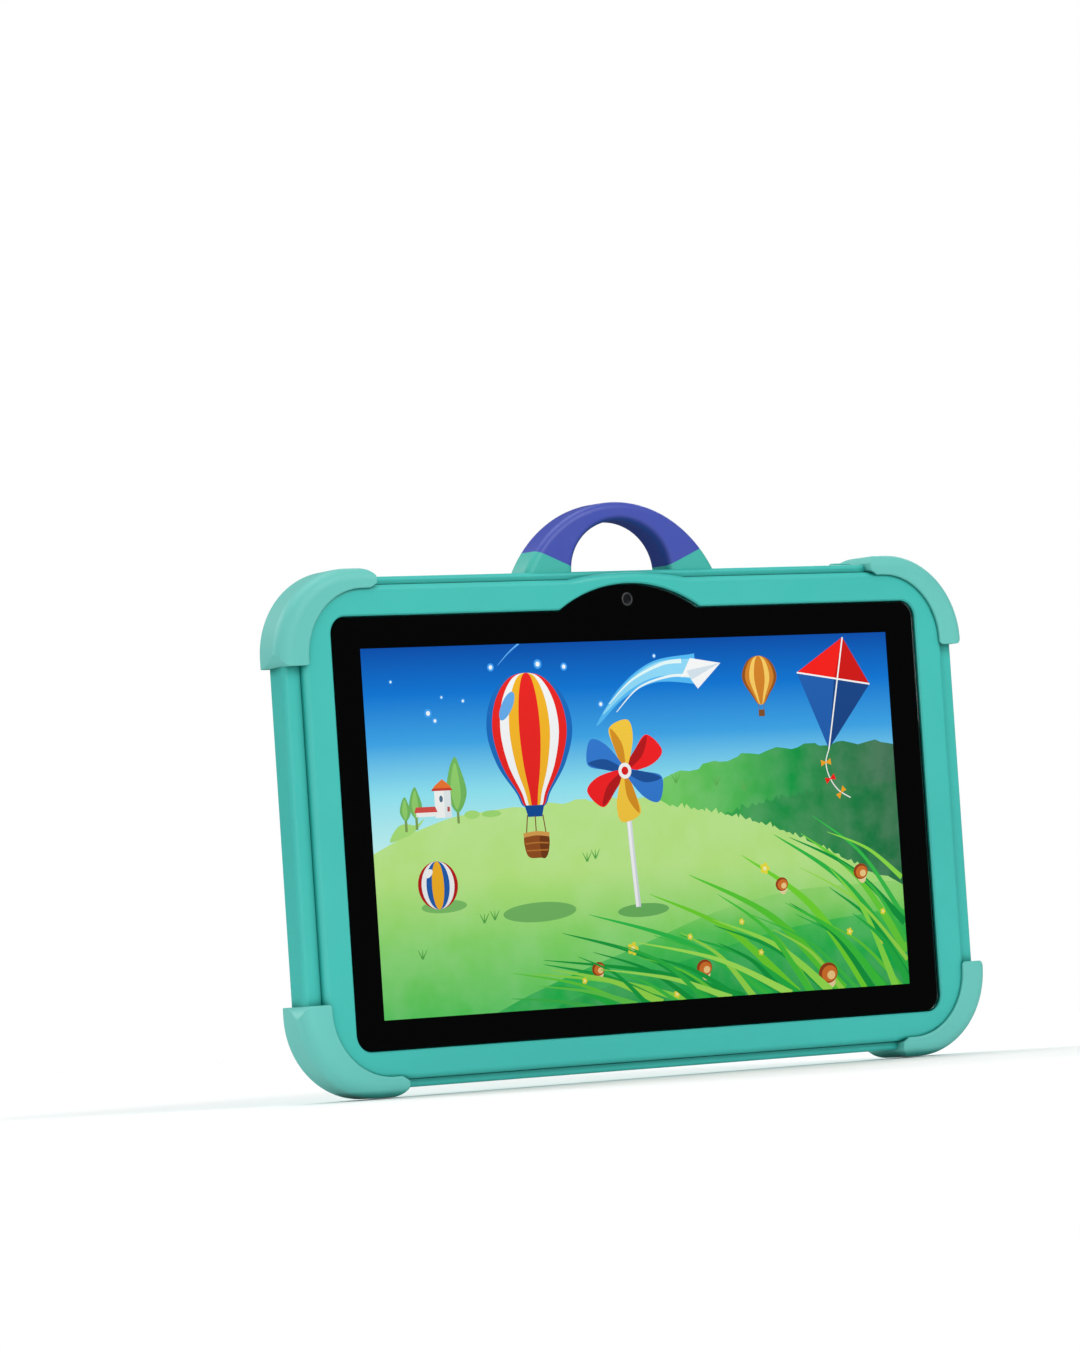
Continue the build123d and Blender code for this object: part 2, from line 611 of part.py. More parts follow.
def corner_bumper(side, level):
    """Keeps one corner of the ring; both its ends fall away in an arc."""
    add(bumper_ring.part)
    out_x = BUMPER_W / 2 + TOUCH / 2
    out_z = BUMPER_H / 2 + TOUCH / 2
    end_x = RIM_W / 2 + TOUCH
    end_z = RIM_H / 2 + TOUCH
    top_turn = degrees(acos(1 - (out_z - end_z) / BUMPER_END_R))
    side_turn = degrees(acos(1 - (out_x - end_x) / BUMPER_SIDE_END_R))
    top_x = BUMPER_END_X + BUMPER_END_R * sin(radians(top_turn))
    side_z = BUMPER_END_Z + BUMPER_SIDE_END_R * sin(radians(side_turn))
    lip_x = BUMPER_LIP_W / 2 - TOUCH
    lip_z = BUMPER_LIP_H / 2 - TOUCH
    with BuildSketch(at_depth(0)) as region:
        with BuildLine():
            Polyline(
                (end_x, BUMPER_END_Z),
                (lip_x, BUMPER_END_Z),
                (lip_x, BUMPER_LIP_H / 2 - BUMPER_LIP_R),
                (BUMPER_LIP_END_X, BUMPER_LIP_H / 2 - BUMPER_LIP_R),
                (BUMPER_LIP_END_X, lip_z),
                (BUMPER_END_X, BACK_H / 2),
                (BUMPER_END_X, end_z),
            )
            CenterArc((top_x, out_z - BUMPER_END_R), BUMPER_END_R, 90, top_turn)
            far = BUMPER_W
            Polyline((top_x, out_z), (top_x, far), (far, far), (far, side_z), (out_x, side_z))
            CenterArc((out_x - BUMPER_SIDE_END_R, side_z), BUMPER_SIDE_END_R, 0, -side_turn)
        make_face()
        lip_corner = vertices().filter_by(lambda v: abs(v.X - lip_x) < TOUCH / 2).sort_by(Axis.Y)[0]
        fillet(lip_corner, BUMPER_LIP_CORNER_R)
    corner = region.sketch
    if side < 0:
        corner = mirror(corner, about=Plane.YZ, mode=Mode.PRIVATE)
    if level < 0:
        corner = mirror(corner, about=Plane.XY.offset(BUMPER_H / 2), mode=Mode.PRIVATE)
    extrude(corner, amount=2 * BUMPER_Y, both=True, mode=Mode.INTERSECT)


CORNERS = {
    "top_left": (-1, 1),
    "top_right": (1, 1),
    "bottom_left": (-1, -1),
    "bottom_right": (1, -1),
}
for corner, (side, level) in CORNERS.items():
    with BuildPart() as bumper:
        corner_bumper(side, level)
        if corner == "top_right":
            with BuildSketch(jack_plane(-4)):
                Circle(JACK_HOLE_R)
            extrude(amount=14, mode=Mode.SUBTRACT)
    export(bumper.part, f"corner_bumper_{corner}")

# ---------------------------------------------------------------- carry handle
with BuildPart() as handle_blank:
    with BuildSketch(at_depth(HANDLE_DEPTH / 2)):
        with Locations((0, HANDLE_TOP - HANDLE_R)):
            Circle(HANDLE_R)
        with Locations((0, RIM_H / 2)):
            Ellipse(HANDLE_GAP_HALF, HANDLE_GAP_H, mode=Mode.SUBTRACT)
        with Locations((0, HANDLE_FOOT_Z - HANDLE_R)):
            Rectangle(3 * HANDLE_R, 2 * HANDLE_R, mode=Mode.SUBTRACT)
    extrude(amount=HANDLE_DEPTH)
    fillet(edges().filter_by(GeomType.LINE, reverse=True), HANDLE_ROUND)

with BuildPart() as handle_core:
    add(handle_blank.part)
    with BuildSketch(at_depth(HANDLE_DEPTH / 2)):
        with BuildLine():
            reach = 2 * HANDLE_R
            Polyline(
                (-reach, GRIP_END_Z + GRIP_END_SLOPE * reach),
                (0, GRIP_END_Z),
                (reach, GRIP_END_Z + GRIP_END_SLOPE * reach),
                (reach, 2 * HANDLE_TOP),
                (-reach, 2 * HANDLE_TOP),
                close=True,
            )
        make_face()
    extrude(amount=HANDLE_DEPTH, mode=Mode.SUBTRACT)
    with BuildSketch(at_depth(HANDLE_CORE_DEPTH / 2)):
        with Locations((0, HANDLE_TOP - HANDLE_R)):
            Circle(HANDLE_R - HANDLE_CORE_SKIN)
        with Locations((0, RIM_H / 2)):
            Ellipse(HANDLE_GAP_HALF + HANDLE_CORE_SKIN, HANDLE_GAP_H + HANDLE_CORE_SKIN, mode=Mode.SUBTRACT)
        with Locations((0, HANDLE_FOOT_Z - HANDLE_R)):
            Rectangle(3 * HANDLE_R, 2 * HANDLE_R, mode=Mode.SUBTRACT)
    extrude(amount=HANDLE_CORE_DEPTH)
    add(shell_envelope.part, mode=Mode.SUBTRACT)
    with BuildSketch(Plane.XY.offset(BUMPER_H / 2 + HANDLE_FOOT_Z)):
        with Locations(*HANDLE_SCREWS):
            Circle(SCREW_R)
    extrude(amount=HANDLE_SCREW_L + HANDLE_SCREW_SPARE, mode=Mode.SUBTRACT)
export(handle_core.part, "handle_core")

with BuildPart() as handle_grip:
    add(handle_blank.part)
    add(shell_envelope.part, mode=Mode.SUBTRACT)
    add(handle_core.part, mode=Mode.SUBTRACT)
    with BuildSketch(at_depth(HANDLE_DEPTH / 2)):
        Rectangle(4 * HANDLE_R, RIM_H + 4 * TOUCH)
    extrude(amount=HANDLE_DEPTH, mode=Mode.SUBTRACT)
    with BuildSketch(Plane.XY.offset(BUMPER_H / 2 + HANDLE_FOOT_Z)):
        with Locations(*HANDLE_SCREWS):
            Circle(SCREW_R)
    extrude(amount=HANDLE_SCREW_L + HANDLE_SCREW_SPARE, mode=Mode.SUBTRACT)
export(handle_grip.part, "handle_grip")

with BuildPart() as handle_screws:
    head_plane = Plane.XY.offset(BUMPER_H / 2 + CAVITY_H / 2 - SCREW_HEAD_H)
    with BuildSketch(head_plane):
        with Locations(*HANDLE_SCREWS):
            Circle(SCREW_HEAD_R)
    extrude(amount=SCREW_HEAD_H)
    with BuildSketch(head_plane):
        with Locations(*HANDLE_SCREWS):
            Circle(SCREW_R)
    extrude(amount=SCREW_HEAD_H + HANDLE_SCREW_L)
    with BuildSketch(head_plane):
        with Locations(*HANDLE_SCREWS):
            RegularPolygon(HEX_R, 6)
    extrude(amount=HEX_DEPTH, mode=Mode.SUBTRACT)
export(handle_screws.part, "handle_screws")

# ---------------------------------------------------------------- kickstand
with BuildPart() as kickstand_flap:
    # The section across the hinge, run along the whole width: a plate with a round lower edge.
    flap_end = Plane(origin=(-FLAP_HALF, HINGE_Y, BUMPER_H / 2 + HINGE_Z), x_dir=(0, 1, 0), z_dir=(1, 0, 0))
    with BuildSketch(flap_end):
        Circle(HINGE_R)
        with Locations((0, (FLAP_TOP - HINGE_Z) / 2)):
            Rectangle(2 * HINGE_R, FLAP_TOP - HINGE_Z)
    extrude(amount=2 * FLAP_HALF)
    fillet(edges().filter_by(Axis.Y).group_by(Axis.Z)[-1], FLAP_CORNER_R)
    chamfer(faces().sort_by(Axis.Z)[-1].edges().filter_by(Axis.X), FLAP_EDGE_CHAMFER)
    # Lightening pockets on the inside, between ribs.
    with BuildSketch(at_depth(HINGE_Y - HINGE_R + FLAP_HOLLOW_DEPTH)):
        with Locations((0, (FLAP_TOP + HINGE_Z) / 2 + FLAP_RIB_SHIFT)):
            with GridLocations(*FLAP_RIB_PITCH, 3, 2):
                RectangleRounded(*FLAP_RIB_HOLLOW, FLAP_RIB_R)
    extrude(amount=FLAP_HOLLOW_DEPTH, mode=Mode.SUBTRACT)
    for side in (-1, 1):
        pin_plane = Plane(origin=(side * FLAP_HALF, HINGE_Y, BUMPER_H / 2 + HINGE_Z),
                          x_dir=(0, 1, 0), z_dir=(-side, 0, 0))
        with BuildSketch(pin_plane):
            Circle(PIN_R + PIN_RUNNING_GAP)
        extrude(amount=PIN_IN_FLAP + HINGE_GAP, mode=Mode.SUBTRACT)
export(kickstand_flap.part, "kickstand_flap")

with BuildPart() as kickstand_pins:
    for side in (-1, 1):
        pin_plane = Plane(origin=(side * (FLAP_HALF - PIN_IN_FLAP), HINGE_Y, BUMPER_H / 2 + HINGE_Z),
                          x_dir=(0, 1, 0), z_dir=(side, 0, 0))
        with BuildSketch(pin_plane):
            Circle(PIN_R)
        extrude(amount=PIN_END_X - FLAP_HALF + PIN_IN_FLAP)
export(kickstand_pins.part, "kickstand_pins")

# ---------------------------------------------------------------- case screws and plugs
with BuildPart() as case_screws:
    rods(SCREWS, SCREW_HEAD_R, SCREW_HEAD_BACK_Y - SCREW_HEAD_H, SCREW_HEAD_BACK_Y)
    rods(SCREWS, SCREW_R, SCREW_TIP_Y, SCREW_HEAD_BACK_Y - SCREW_HEAD_H)
    with BuildSketch(at_depth(SCREW_HEAD_BACK_Y)):
        with Locations(*SCREWS):
            Rectangle(*SCREW_CROSS)
            Rectangle(*SCREW_CROSS, rotation=90)
    extrude(amount=SCREW_CROSS_DEPTH, mode=Mode.SUBTRACT)
export(case_screws.part, "case_screws")

with BuildPart() as screw_plugs:
    rods(SCREWS, PLUG_R, BACK_Y - PLUG_DEPTH, BACK_Y + PLUG_PROUD)
    fillet(faces().group_by(Axis.Y)[-1].edges(), PLUG_ROUND)
export(screw_plugs.part, "screw_plugs")

# ---------------------------------------------------------------- keys and their switches
SIDE_WALL_X = CAVITY_W / 2
SIDE_OUT_X = RIM_W / 2 - (RIM_W - BACK_W) / 2 * (KEY_Y - RIM_WIDE_Y) / (BACK_Y - RIM_WIDE_Y)
TOP_WALL_Z = CAVITY_H / 2
TOP_OUT_Z = RIM_H / 2 - (RIM_H - BACK_H) / 2 * (KEY_Y - RIM_WIDE_Y) / (BACK_Y - RIM_WIDE_Y)


def key(flange_plane, length, stem):
    """A round-ended key with a flange that keeps it behind the wall."""
    with BuildSketch(flange_plane) as flange:
        SlotOverall(length + KEY_FLANGE_REACH[0], KEY_H + KEY_FLANGE_REACH[1])
    extrude(flange.sketch, amount=KEY_FLANGE)
    with BuildSketch(flange_plane) as cap:
        SlotOverall(length, KEY_H)
    extrude(cap.sketch, amount=stem)


for name, z in (("volume_up_key", VOLUME_UP_Z), ("volume_down_key", VOLUME_DOWN_Z)):
    flange_x = SIDE_WALL_X - KEY_GAP - KEY_FLANGE
    plane = Plane(origin=(flange_x, KEY_Y, BUMPER_H / 2 + z), x_dir=(0, 0, 1), z_dir=(1, 0, 0))
    with BuildPart() as volume_key:
        key(plane, VOLUME_KEY_L, SIDE_OUT_X + KEY_PROUD - flange_x)
        fillet(volume_key.faces().sort_by(Axis.X)[-1].edges(), KEY_ROUND)
    export(volume_key.part, name)

with BuildPart() as power_key:
    flange_z = TOP_WALL_Z - KEY_GAP - KEY_FLANGE
    power_plane = Plane(origin=(POWER_KEY_X, KEY_Y, BUMPER_H / 2 + flange_z), x_dir=(1, 0, 0))
    key(power_plane, POWER_KEY_L, TOP_OUT_Z + KEY_PROUD - flange_z)
    fillet(power_key.faces().sort_by(Axis.Z)[-1].edges(), KEY_ROUND)
export(power_key.part, "power_key")

with BuildPart() as key_switches:
    switch_back = SIDE_WALL_X - KEY_GAP - KEY_FLANGE - KEY_TRAVEL - SWITCH_GAP
    switch_top = TOP_WALL_Z - KEY_GAP - KEY_FLANGE - KEY_TRAVEL - SWITCH_GAP
    switch_front = BOARD_Y - SWITCH_HEIGHT
    volume_x = (switch_back - SWITCH_DEPTH, switch_back)
    for z in (VOLUME_UP_Z, VOLUME_DOWN_Z):
        block(volume_x, (z - SWITCH_HALF, z + SWITCH_HALF), switch_front, BOARD_Y)
    power_x = (POWER_KEY_X - SWITCH_HALF, POWER_KEY_X + SWITCH_HALF)
    block(power_x, (switch_top - SWITCH_DEPTH, switch_top), switch_front, BOARD_Y)
export(key_switches.part, "key_switches")

# ---------------------------------------------------------------- cover glass and display
with BuildPart() as cover_glass:
    with BuildSketch(at_depth(GLASS_BACK_Y)):
        glass_shape(0)
    extrude(amount=GLASS_BACK_Y - GLASS_Y)
    chamfer(faces().sort_by(Axis.Y)[0].edges(), GLASS_EDGE_CHAMFER)
export(cover_glass.part, "cover_glass")

with BuildPart() as ink_border:
    with BuildSketch(at_depth(INK_BACK_Y)):
        glass_shape(-INK_GAP)
        with Locations((0, DISPLAY_Z)):
            Rectangle(ACTIVE_W, ACTIVE_H, mode=Mode.SUBTRACT)
        with Locations((0, FRONT_CAMERA_Z)):
            Circle(INK_CAMERA_R, mode=Mode.SUBTRACT)
    extrude(amount=INK_BACK_Y - GLASS_BACK_Y)
export(ink_border.part, "ink_border")

with BuildPart() as glass_adhesive:
    with BuildSketch(at_depth(LEDGE_Y)):
        glass_shape(-ADHESIVE_GAP)
        with Locations((0, DISPLAY_Z)):
            inner_size = (LIGHT_W + ADHESIVE_INNER[0], LIGHT_H + ADHESIVE_INNER[1])
            RectangleRounded(*inner_size, LIGHT_CORNER_R, mode=Mode.SUBTRACT)
        with Locations((0, FRONT_CAMERA_Z)):
            camera_hole = FRONT_CAMERA_SIZE + 2 * ADHESIVE_CAMERA_GAP
            Rectangle(camera_hole, camera_hole, mode=Mode.SUBTRACT)
    extrude(amount=LEDGE_Y - INK_BACK_Y)
export(glass_adhesive.part, "glass_adhesive")

with BuildPart() as lcd_panel:
    block((-LCD_W / 2, LCD_W / 2), (DISPLAY_Z - LCD_H / 2, DISPLAY_Z + LCD_H / 2), LCD_Y, LCD_BACK_Y)
export(lcd_panel.part, "lcd_panel")

with BuildPart() as backlight_unit:
    slab(LIGHT_W, LIGHT_H, LIGHT_CORNER_R - LIGHT_GAP, LCD_BACK_Y, LIGHT_BACK_Y, centre=(0, DISPLAY_Z))
export(backlight_unit.part, "backlight_unit")

with BuildPart() as display_flex:
    flex_back = PLATE_BACK_Y + FLEX_THICK + TOUCH / 2
    block(FLEX_WIDE_X, (FLEX_LOW_Z, FLEX_WIDE_TOP_Z), PLATE_Y, PLATE_Y + FLEX_THICK)
    block(FLEX_TAIL_X, (FLEX_LOW_Z, FLEX_END_Z), flex_back - FLEX_THICK, flex_back)
    block(FLEX_TAIL_X, (FLEX_LOW_Z, FLEX_LOW_Z + 1), PLATE_Y, flex_back)
export(display_flex.part, "display_flex")

# ---------------------------------------------------------------- support plate, battery and board
BOARD_STANDOFFS = [(50.0, -20.0), (50.0, 42.0), (78.0, 5.0)]
BATTERY_X = (-60.0, 42.0)
BATTERY_Z = (-34.0, 32.0)
# The board is three joined rectangles, each given by its middle and its size.
BOARD_AREAS = [
    ((63.9, 10.5), (38.8, 71.0)),
    ((87.0, 24.0), (8.0, 33.0)),
    ((59.0, 49.0), (40.0, 7.0)),
]
JACK_BOARD_CUT = (7.0, 6.0)

with BuildPart() as support_plate:
    slab(PLATE_W, PLATE_H, PLATE_CORNER_R, PLATE_Y, PLATE_BACK_Y)
    for side in (-1, 1):
        x_range = sorted((side * (PLATE_W / 2 - 1), side * (FRAME_POST_X + EAR_REACH)))
        for level in (-FRAME_POST_Z, FRAME_POST_Z):
            block(x_range, (level - EAR_HALF, level + EAR_HALF), PLATE_Y, PLATE_BACK_Y)
    rods(BOARD_STANDOFFS, STANDOFF_R, PLATE_BACK_Y, BOARD_Y)
    rods(BOARD_STANDOFFS, SMALL_SCREW_R, PLATE_Y, BOARD_Y, Mode.SUBTRACT)
    rods(FRAME_POSTS, SMALL_HOLE_R, PLATE_Y, PLATE_BACK_Y, Mode.SUBTRACT)
export(support_plate.part, "support_plate")

with BuildPart() as plate_screws:
    rods(FRAME_POSTS, SMALL_HEAD_R, PLATE_BACK_Y, PLATE_BACK_Y + SMALL_HEAD_H)
    rods(FRAME_POSTS, SMALL_SCREW_R, SEAT_Y - SMALL_SCREW_IN, PLATE_BACK_Y)
export(plate_screws.part, "plate_screws")

with BuildPart() as battery_tape:
    tape_x = (BATTERY_X[0] + TAPE_MARGIN, BATTERY_X[1] - TAPE_MARGIN)
    tape_z = (BATTERY_Z[0] + TAPE_MARGIN, BATTERY_Z[1] - TAPE_MARGIN)
    block(tape_x, tape_z, PLATE_BACK_Y, TAPE_BACK_Y)
export(battery_tape.part, "battery_tape")

with BuildPart() as battery:
    block(BATTERY_X, BATTERY_Z, TAPE_BACK_Y, BATTERY_BACK_Y)
    fillet(edges().filter_by(Axis.X), BATTERY_ROUND)
export(battery.part, "battery")

with BuildPart() as battery_lead:
    lead_z = BATTERY_Z[1] + LEAD_WIDTH
    block(LEAD_RUN_X, (BATTERY_Z[1], lead_z), *LEAD_Y)
    block(LEAD_PLUG_X, (lead_z, lead_z + LEAD_PLUG_L), *LEAD_Y)
export(battery_lead.part, "battery_lead")

with BuildPart() as main_board:
    with BuildSketch(at_depth(BOARD_BACK_Y)):
        for place, size in BOARD_AREAS:
            with Locations(place):
                Rectangle(*size)
        with Locations((USB_X, USB_MOUTH_Z - USB_L / 2)):
            Rectangle(USB_W + 4 * TOUCH, USB_L + USB_BACK, mode=Mode.SUBTRACT)
    extrude(amount=BOARD_BACK_Y - BOARD_Y)
    with BuildSketch(jack_plane(-JACK_BODY_L - JACK_COLLAR_L - 1)):
        Rectangle(*JACK_BOARD_CUT)
    extrude(amount=JACK_BODY_L + JACK_COLLAR_L + 1, mode=Mode.SUBTRACT)
    rods(BOARD_STANDOFFS, SMALL_HOLE_R, BOARD_Y, BOARD_BACK_Y, Mode.SUBTRACT)
export(main_board.part, "main_board")

with BuildPart() as board_screws:
    rods(BOARD_STANDOFFS, SMALL_HEAD_R, BOARD_BACK_Y, BOARD_BACK_Y + SMALL_HEAD_H)
    rods(BOARD_STANDOFFS, SMALL_SCREW_R, PLATE_BACK_Y, BOARD_BACK_Y)
export(board_screws.part, "board_screws")

with BuildPart() as shield_can:
    block(SHIELD_X, SHIELD_Z, BOARD_BACK_Y, BOARD_BACK_Y + SHIELD_H)
    fillet(edges().filter_by(Axis.Y), SHIELD_CORNER_R)
    inner_x = (SHIELD_X[0] + SHIELD_WALL, SHIELD_X[1] - SHIELD_WALL)
    inner_z = (SHIELD_Z[0] + SHIELD_WALL, SHIELD_Z[1] - SHIELD_WALL)
    block(inner_x, inner_z, BOARD_BACK_Y, BOARD_BACK_Y + SHIELD_H - SHIELD_WALL, Mode.SUBTRACT)
export(shield_can.part, "shield_can")

with BuildPart() as processor:
    block(PROCESSOR_X, PROCESSOR_Z, BOARD_BACK_Y, BOARD_BACK_Y + PROCESSOR_H)
export(processor.part, "processor")

with BuildPart() as usb_socket:
    socket_end = Plane(origin=(USB_X, USB_Y, BUMPER_H / 2 + USB_MOUTH_Z - USB_L), x_dir=(1, 0, 0))
    with BuildSketch(socket_end):
        SlotOverall(USB_W, USB_H)
    extrude(amount=USB_L)
    with BuildSketch(socket_end.offset(USB_BACK)):
        SlotOverall(USB_W - 2 * USB_WALL, USB_H - 2 * USB_WALL)
    extrude(amount=USB_L, mode=Mode.SUBTRACT)
    with BuildSketch(socket_end.offset(USB_BACK - TOUCH)):
        Rectangle(*USB_TONGUE)
    extrude(amount=USB_L - USB_BACK - USB_TONGUE_SHORT + TOUCH)
export(usb_socket.part, "usb_socket")

with BuildPart() as audio_jack:
    with BuildSketch(jack_plane(-JACK_COLLAR_L - JACK_BODY_L)):
        Rectangle(*JACK_BODY)
    extrude(amount=JACK_BODY_L)
    with BuildSketch(jack_plane(-JACK_COLLAR_L)):
        Circle(JACK_COLLAR_R)
    extrude(amount=JACK_COLLAR_L)
    with BuildSketch(jack_plane(0)):
        Circle(JACK_BORE_R)
    extrude(amount=-(JACK_BODY_L + JACK_COLLAR_L - JACK_END_WALL), mode=Mode.SUBTRACT)
export(audio_jack.part, "audio_jack")

with BuildPart() as card_socket:
    socket_x = (CARD_SOCKET_X, CARD_X - CARD_WALL - TOUCH)
    socket_z = (slot_z - CARD_SOCKET_HALF, slot_z + CARD_SOCKET_HALF)
    block(socket_x, socket_z, BOARD_BACK_Y, BOARD_BACK_Y + CARD_SOCKET_H)
    card_front = CARD_SLOT_Y - CARD_H / 2 - TOUCH
    card_z = (slot_z - CARD_W / 2, slot_z + CARD_W / 2)
    block((CARD_SOCKET_X + 1, CARD_X), card_z, card_front, card_front + CARD_H, Mode.SUBTRACT)
export(card_socket.part, "card_socket")

# ---------------------------------------------------------------- cameras, sound and antenna
with BuildPart() as front_camera:
    half = FRONT_CAMERA_SIZE / 2
    block((-half, half), (FRONT_CAMERA_Z - half, FRONT_CAMERA_Z + half), *FRONT_CAMERA_Y)
    rods([(0, FRONT_CAMERA_Z)], FRONT_BARREL_R, LEDGE_Y, FRONT_CAMERA_Y[0])
    rods([(0, FRONT_CAMERA_Z)], FRONT_LENS_R, LEDGE_Y, LEDGE_Y + LENS_DEPTH, Mode.SUBTRACT)
export(front_camera.part, "front_camera")

with BuildPart() as camera_window:
    with BuildSketch(at_depth(WINDOW_Y)):
        window_shape(0)
    extrude(amount=WINDOW_THICK)
    chamfer(faces().sort_by(Axis.Y)[-1].edges(), WINDOW_CHAMFER)
export(camera_window.part, "camera_window")

for name, z in (("rear_camera_upper", CAMERA_UPPER_Z), ("rear_camera_lower", CAMERA_LOWER_Z)):
    with BuildPart() as rear_camera:
        half = CAMERA_SIZE / 2
        front, shoulder, back = CAMERA_Y
        block((-half, half), (z - half, z + half), front, shoulder)
        rods([(0, z)], CAMERA_BARREL_R, shoulder, back)
        rods([(0, z)], LENS_R, back - LENS_DEPTH, back, Mode.SUBTRACT)
    export(rear_camera.part, name)

with BuildPart() as flash_led:
    half = FLASH_SIZE / 2
    front, shoulder, back = FLASH_Y
    block((FLASH_X - half, FLASH_X + half), (CAMERA_UPPER_Z - half, CAMERA_UPPER_Z + half), front, shoulder)
    rods([(FLASH_X, CAMERA_UPPER_Z)], FLASH_R, shoulder, back)
export(flash_led.part, "flash_led")

for name, side in (("speaker_left", -1), ("speaker_right", 1)):
    with BuildPart() as speaker:
        block(sorted(side * x for x in SPEAKER_X), SPEAKER_Z, *SPEAKER_Y)
        fillet(edges().filter_by(Axis.Y), SPEAKER_CORNER_R)
    export(speaker.part, name)

with BuildPart() as speaker_meshes:
    mesh_front = INNER_BACK_Y - MESH_THICK
    for side in (-1, 1):
        centre = (side * sum(SPEAKER_X) / 2, sum(SPEAKER_Z) / 2)
        slab(*MESH_SIZE, SPEAKER_CORNER_R, mesh_front, INNER_BACK_Y, centre=centre)
export(speaker_meshes.part, "speaker_meshes")

with BuildPart() as microphone:
    mic_low = -CAVITY_H / 2 + TOUCH
    half_x, half_y = MIC_HALF
    mic_x = (MIC_X - half_x, MIC_X + half_x)
    block(mic_x, (mic_low, mic_low + MIC_H), BOARD_Y - half_y, BOARD_Y + half_y)
export(microphone.part, "microphone")

with BuildPart() as wireless_antenna:
    slab(*ANTENNA_SIZE, ANTENNA_CORNER_R, INNER_BACK_Y - FOIL_THICK, INNER_BACK_Y, centre=ANTENNA_PLACE)
export(wireless_antenna.part, "wireless_antenna")
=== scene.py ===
import json
from math import cos, pi, sin

import bmesh
import bpy
from mathutils import Matrix, Vector


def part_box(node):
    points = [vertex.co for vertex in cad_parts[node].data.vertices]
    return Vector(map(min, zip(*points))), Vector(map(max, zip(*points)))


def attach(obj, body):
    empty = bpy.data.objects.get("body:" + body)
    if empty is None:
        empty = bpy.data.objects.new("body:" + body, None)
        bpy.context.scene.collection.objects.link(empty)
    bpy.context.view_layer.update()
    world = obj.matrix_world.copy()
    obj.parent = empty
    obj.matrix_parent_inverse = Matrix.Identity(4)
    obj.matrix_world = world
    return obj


# Looks for a rugged children's tablet: materials for every CAD node, the picture on its screen,
# the small symbols and print on its back, lens details, studio light and the camera.
# Lengths are in metres and MM turns millimetres into metres. Outlines are drawn in millimetres.

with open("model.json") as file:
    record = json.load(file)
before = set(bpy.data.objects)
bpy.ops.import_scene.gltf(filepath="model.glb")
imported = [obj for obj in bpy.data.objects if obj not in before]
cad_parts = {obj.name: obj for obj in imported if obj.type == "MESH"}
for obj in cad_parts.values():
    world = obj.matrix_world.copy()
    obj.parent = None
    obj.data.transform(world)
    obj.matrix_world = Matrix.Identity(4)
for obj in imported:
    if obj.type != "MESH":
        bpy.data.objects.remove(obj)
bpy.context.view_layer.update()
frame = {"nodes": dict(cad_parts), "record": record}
MM = 0.001


# ---------------------------------------------------------------- places taken from the frame
def low(node):
    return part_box(node)[0]


def high(node):
    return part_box(node)[1]


def middle(node):
    return (Vector(low(node)) + Vector(high(node))) / 2


# PANEL_Y is the back's raised panels, BACK_Y the field round them; the picture starts at ART_FAR_Y.
CASE_MID = middle("rear_shell")
PANEL_PROUD = 1.0 * MM
PANEL_Y = high("kickstand_flap")[1]
BACK_Y = PANEL_Y - PANEL_PROUD
GLASS_Y = low("cover_glass")[1]
DISPLAY_MID = middle("lcd_panel")
DISPLAY_W = 154.2 * MM
DISPLAY_H = 85.9 * MM
ART_GAP = 0.01 * MM
ART_FAR_Y = low("lcd_panel")[1] - ART_GAP
INK_Y = high("ink_border")[1]
WINDOW_Y = high("camera_window")[1]
FINGER_GAP = (CASE_MID.x, 0.0, low("handle_grip")[2])


# ---------------------------------------------------------------- colour and node helpers
# How far and how finely the painted shade in grooves and corners looks for nearby surfaces.
HOLLOW_SHADE_SAMPLES = 6
HOLLOW_SHADE_REACH = 2.2 * MM
RELIEF = 0.02 * MM
BYTE_MAX = 255


def hex_bytes(code):
    return [int(code[i:i + 2], 16) for i in (0, 2, 4)]


def rgb(code):
    """A linear colour from an sRGB hex code, by the sRGB standard's curve."""
    values = [byte / BYTE_MAX for byte in hex_bytes(code)]
    linear = [v / 12.92 if v <= 0.04045 else ((v + 0.055) / 1.055) ** 2.4 for v in values]
    return (*linear, 1.0)


def shade(colour, factor):
    """The colour made lighter or darker."""
    return (*[min(1.0, c * factor) for c in colour[:3]], 1.0)


def new_material(name):
    """A node material and its Principled shader."""
    material = bpy.data.materials.new(name)
    material.use_nodes = True
    return material, material.node_tree, material.node_tree.nodes["Principled BSDF"]


def object_coords(tree):
    return tree.nodes.new("ShaderNodeTexCoord").outputs["Object"]


def noise(tree, scale, detail=2.0, roughness=0.5):
    """Noise over the object's own space; scale is in cells per metre."""
    node = tree.nodes.new("ShaderNodeTexNoise")
    node.inputs["Scale"].default_value = scale
    node.inputs["Detail"].default_value = detail
    node.inputs["Roughness"].default_value = roughness
    tree.links.new(object_coords(tree), node.inputs["Vector"])
    return node.outputs["Fac"]


def remap(tree, value, from_low, from_high, to_low, to_high):
    """The value carried from one range to another, held at the ends."""
    node = tree.nodes.new("ShaderNodeMapRange")
    node.inputs["From Min"].default_value = from_low
    node.inputs["From Max"].default_value = from_high
    node.inputs["To Min"].default_value = to_low
    node.inputs["To Max"].default_value = to_high
    tree.links.new(value, node.inputs["Value"])
    return node.outputs["Result"]


def mix(tree, factor, a, b):
    """A colour between a and b; each is a colour or another node's output."""
    node = tree.nodes.new("ShaderNodeMix")
    node.data_type = "RGBA"
    tree.links.new(factor, node.inputs["Factor"])
    for socket, value in (("A", a), ("B", b)):
        target = [s for s in node.inputs if s.name == socket and s.type == "RGBA"][0]
        if isinstance(value, tuple):
            target.default_value = value
        else:
            tree.links.new(value, target)
    return [s for s in node.outputs if s.type == "RGBA"][0]


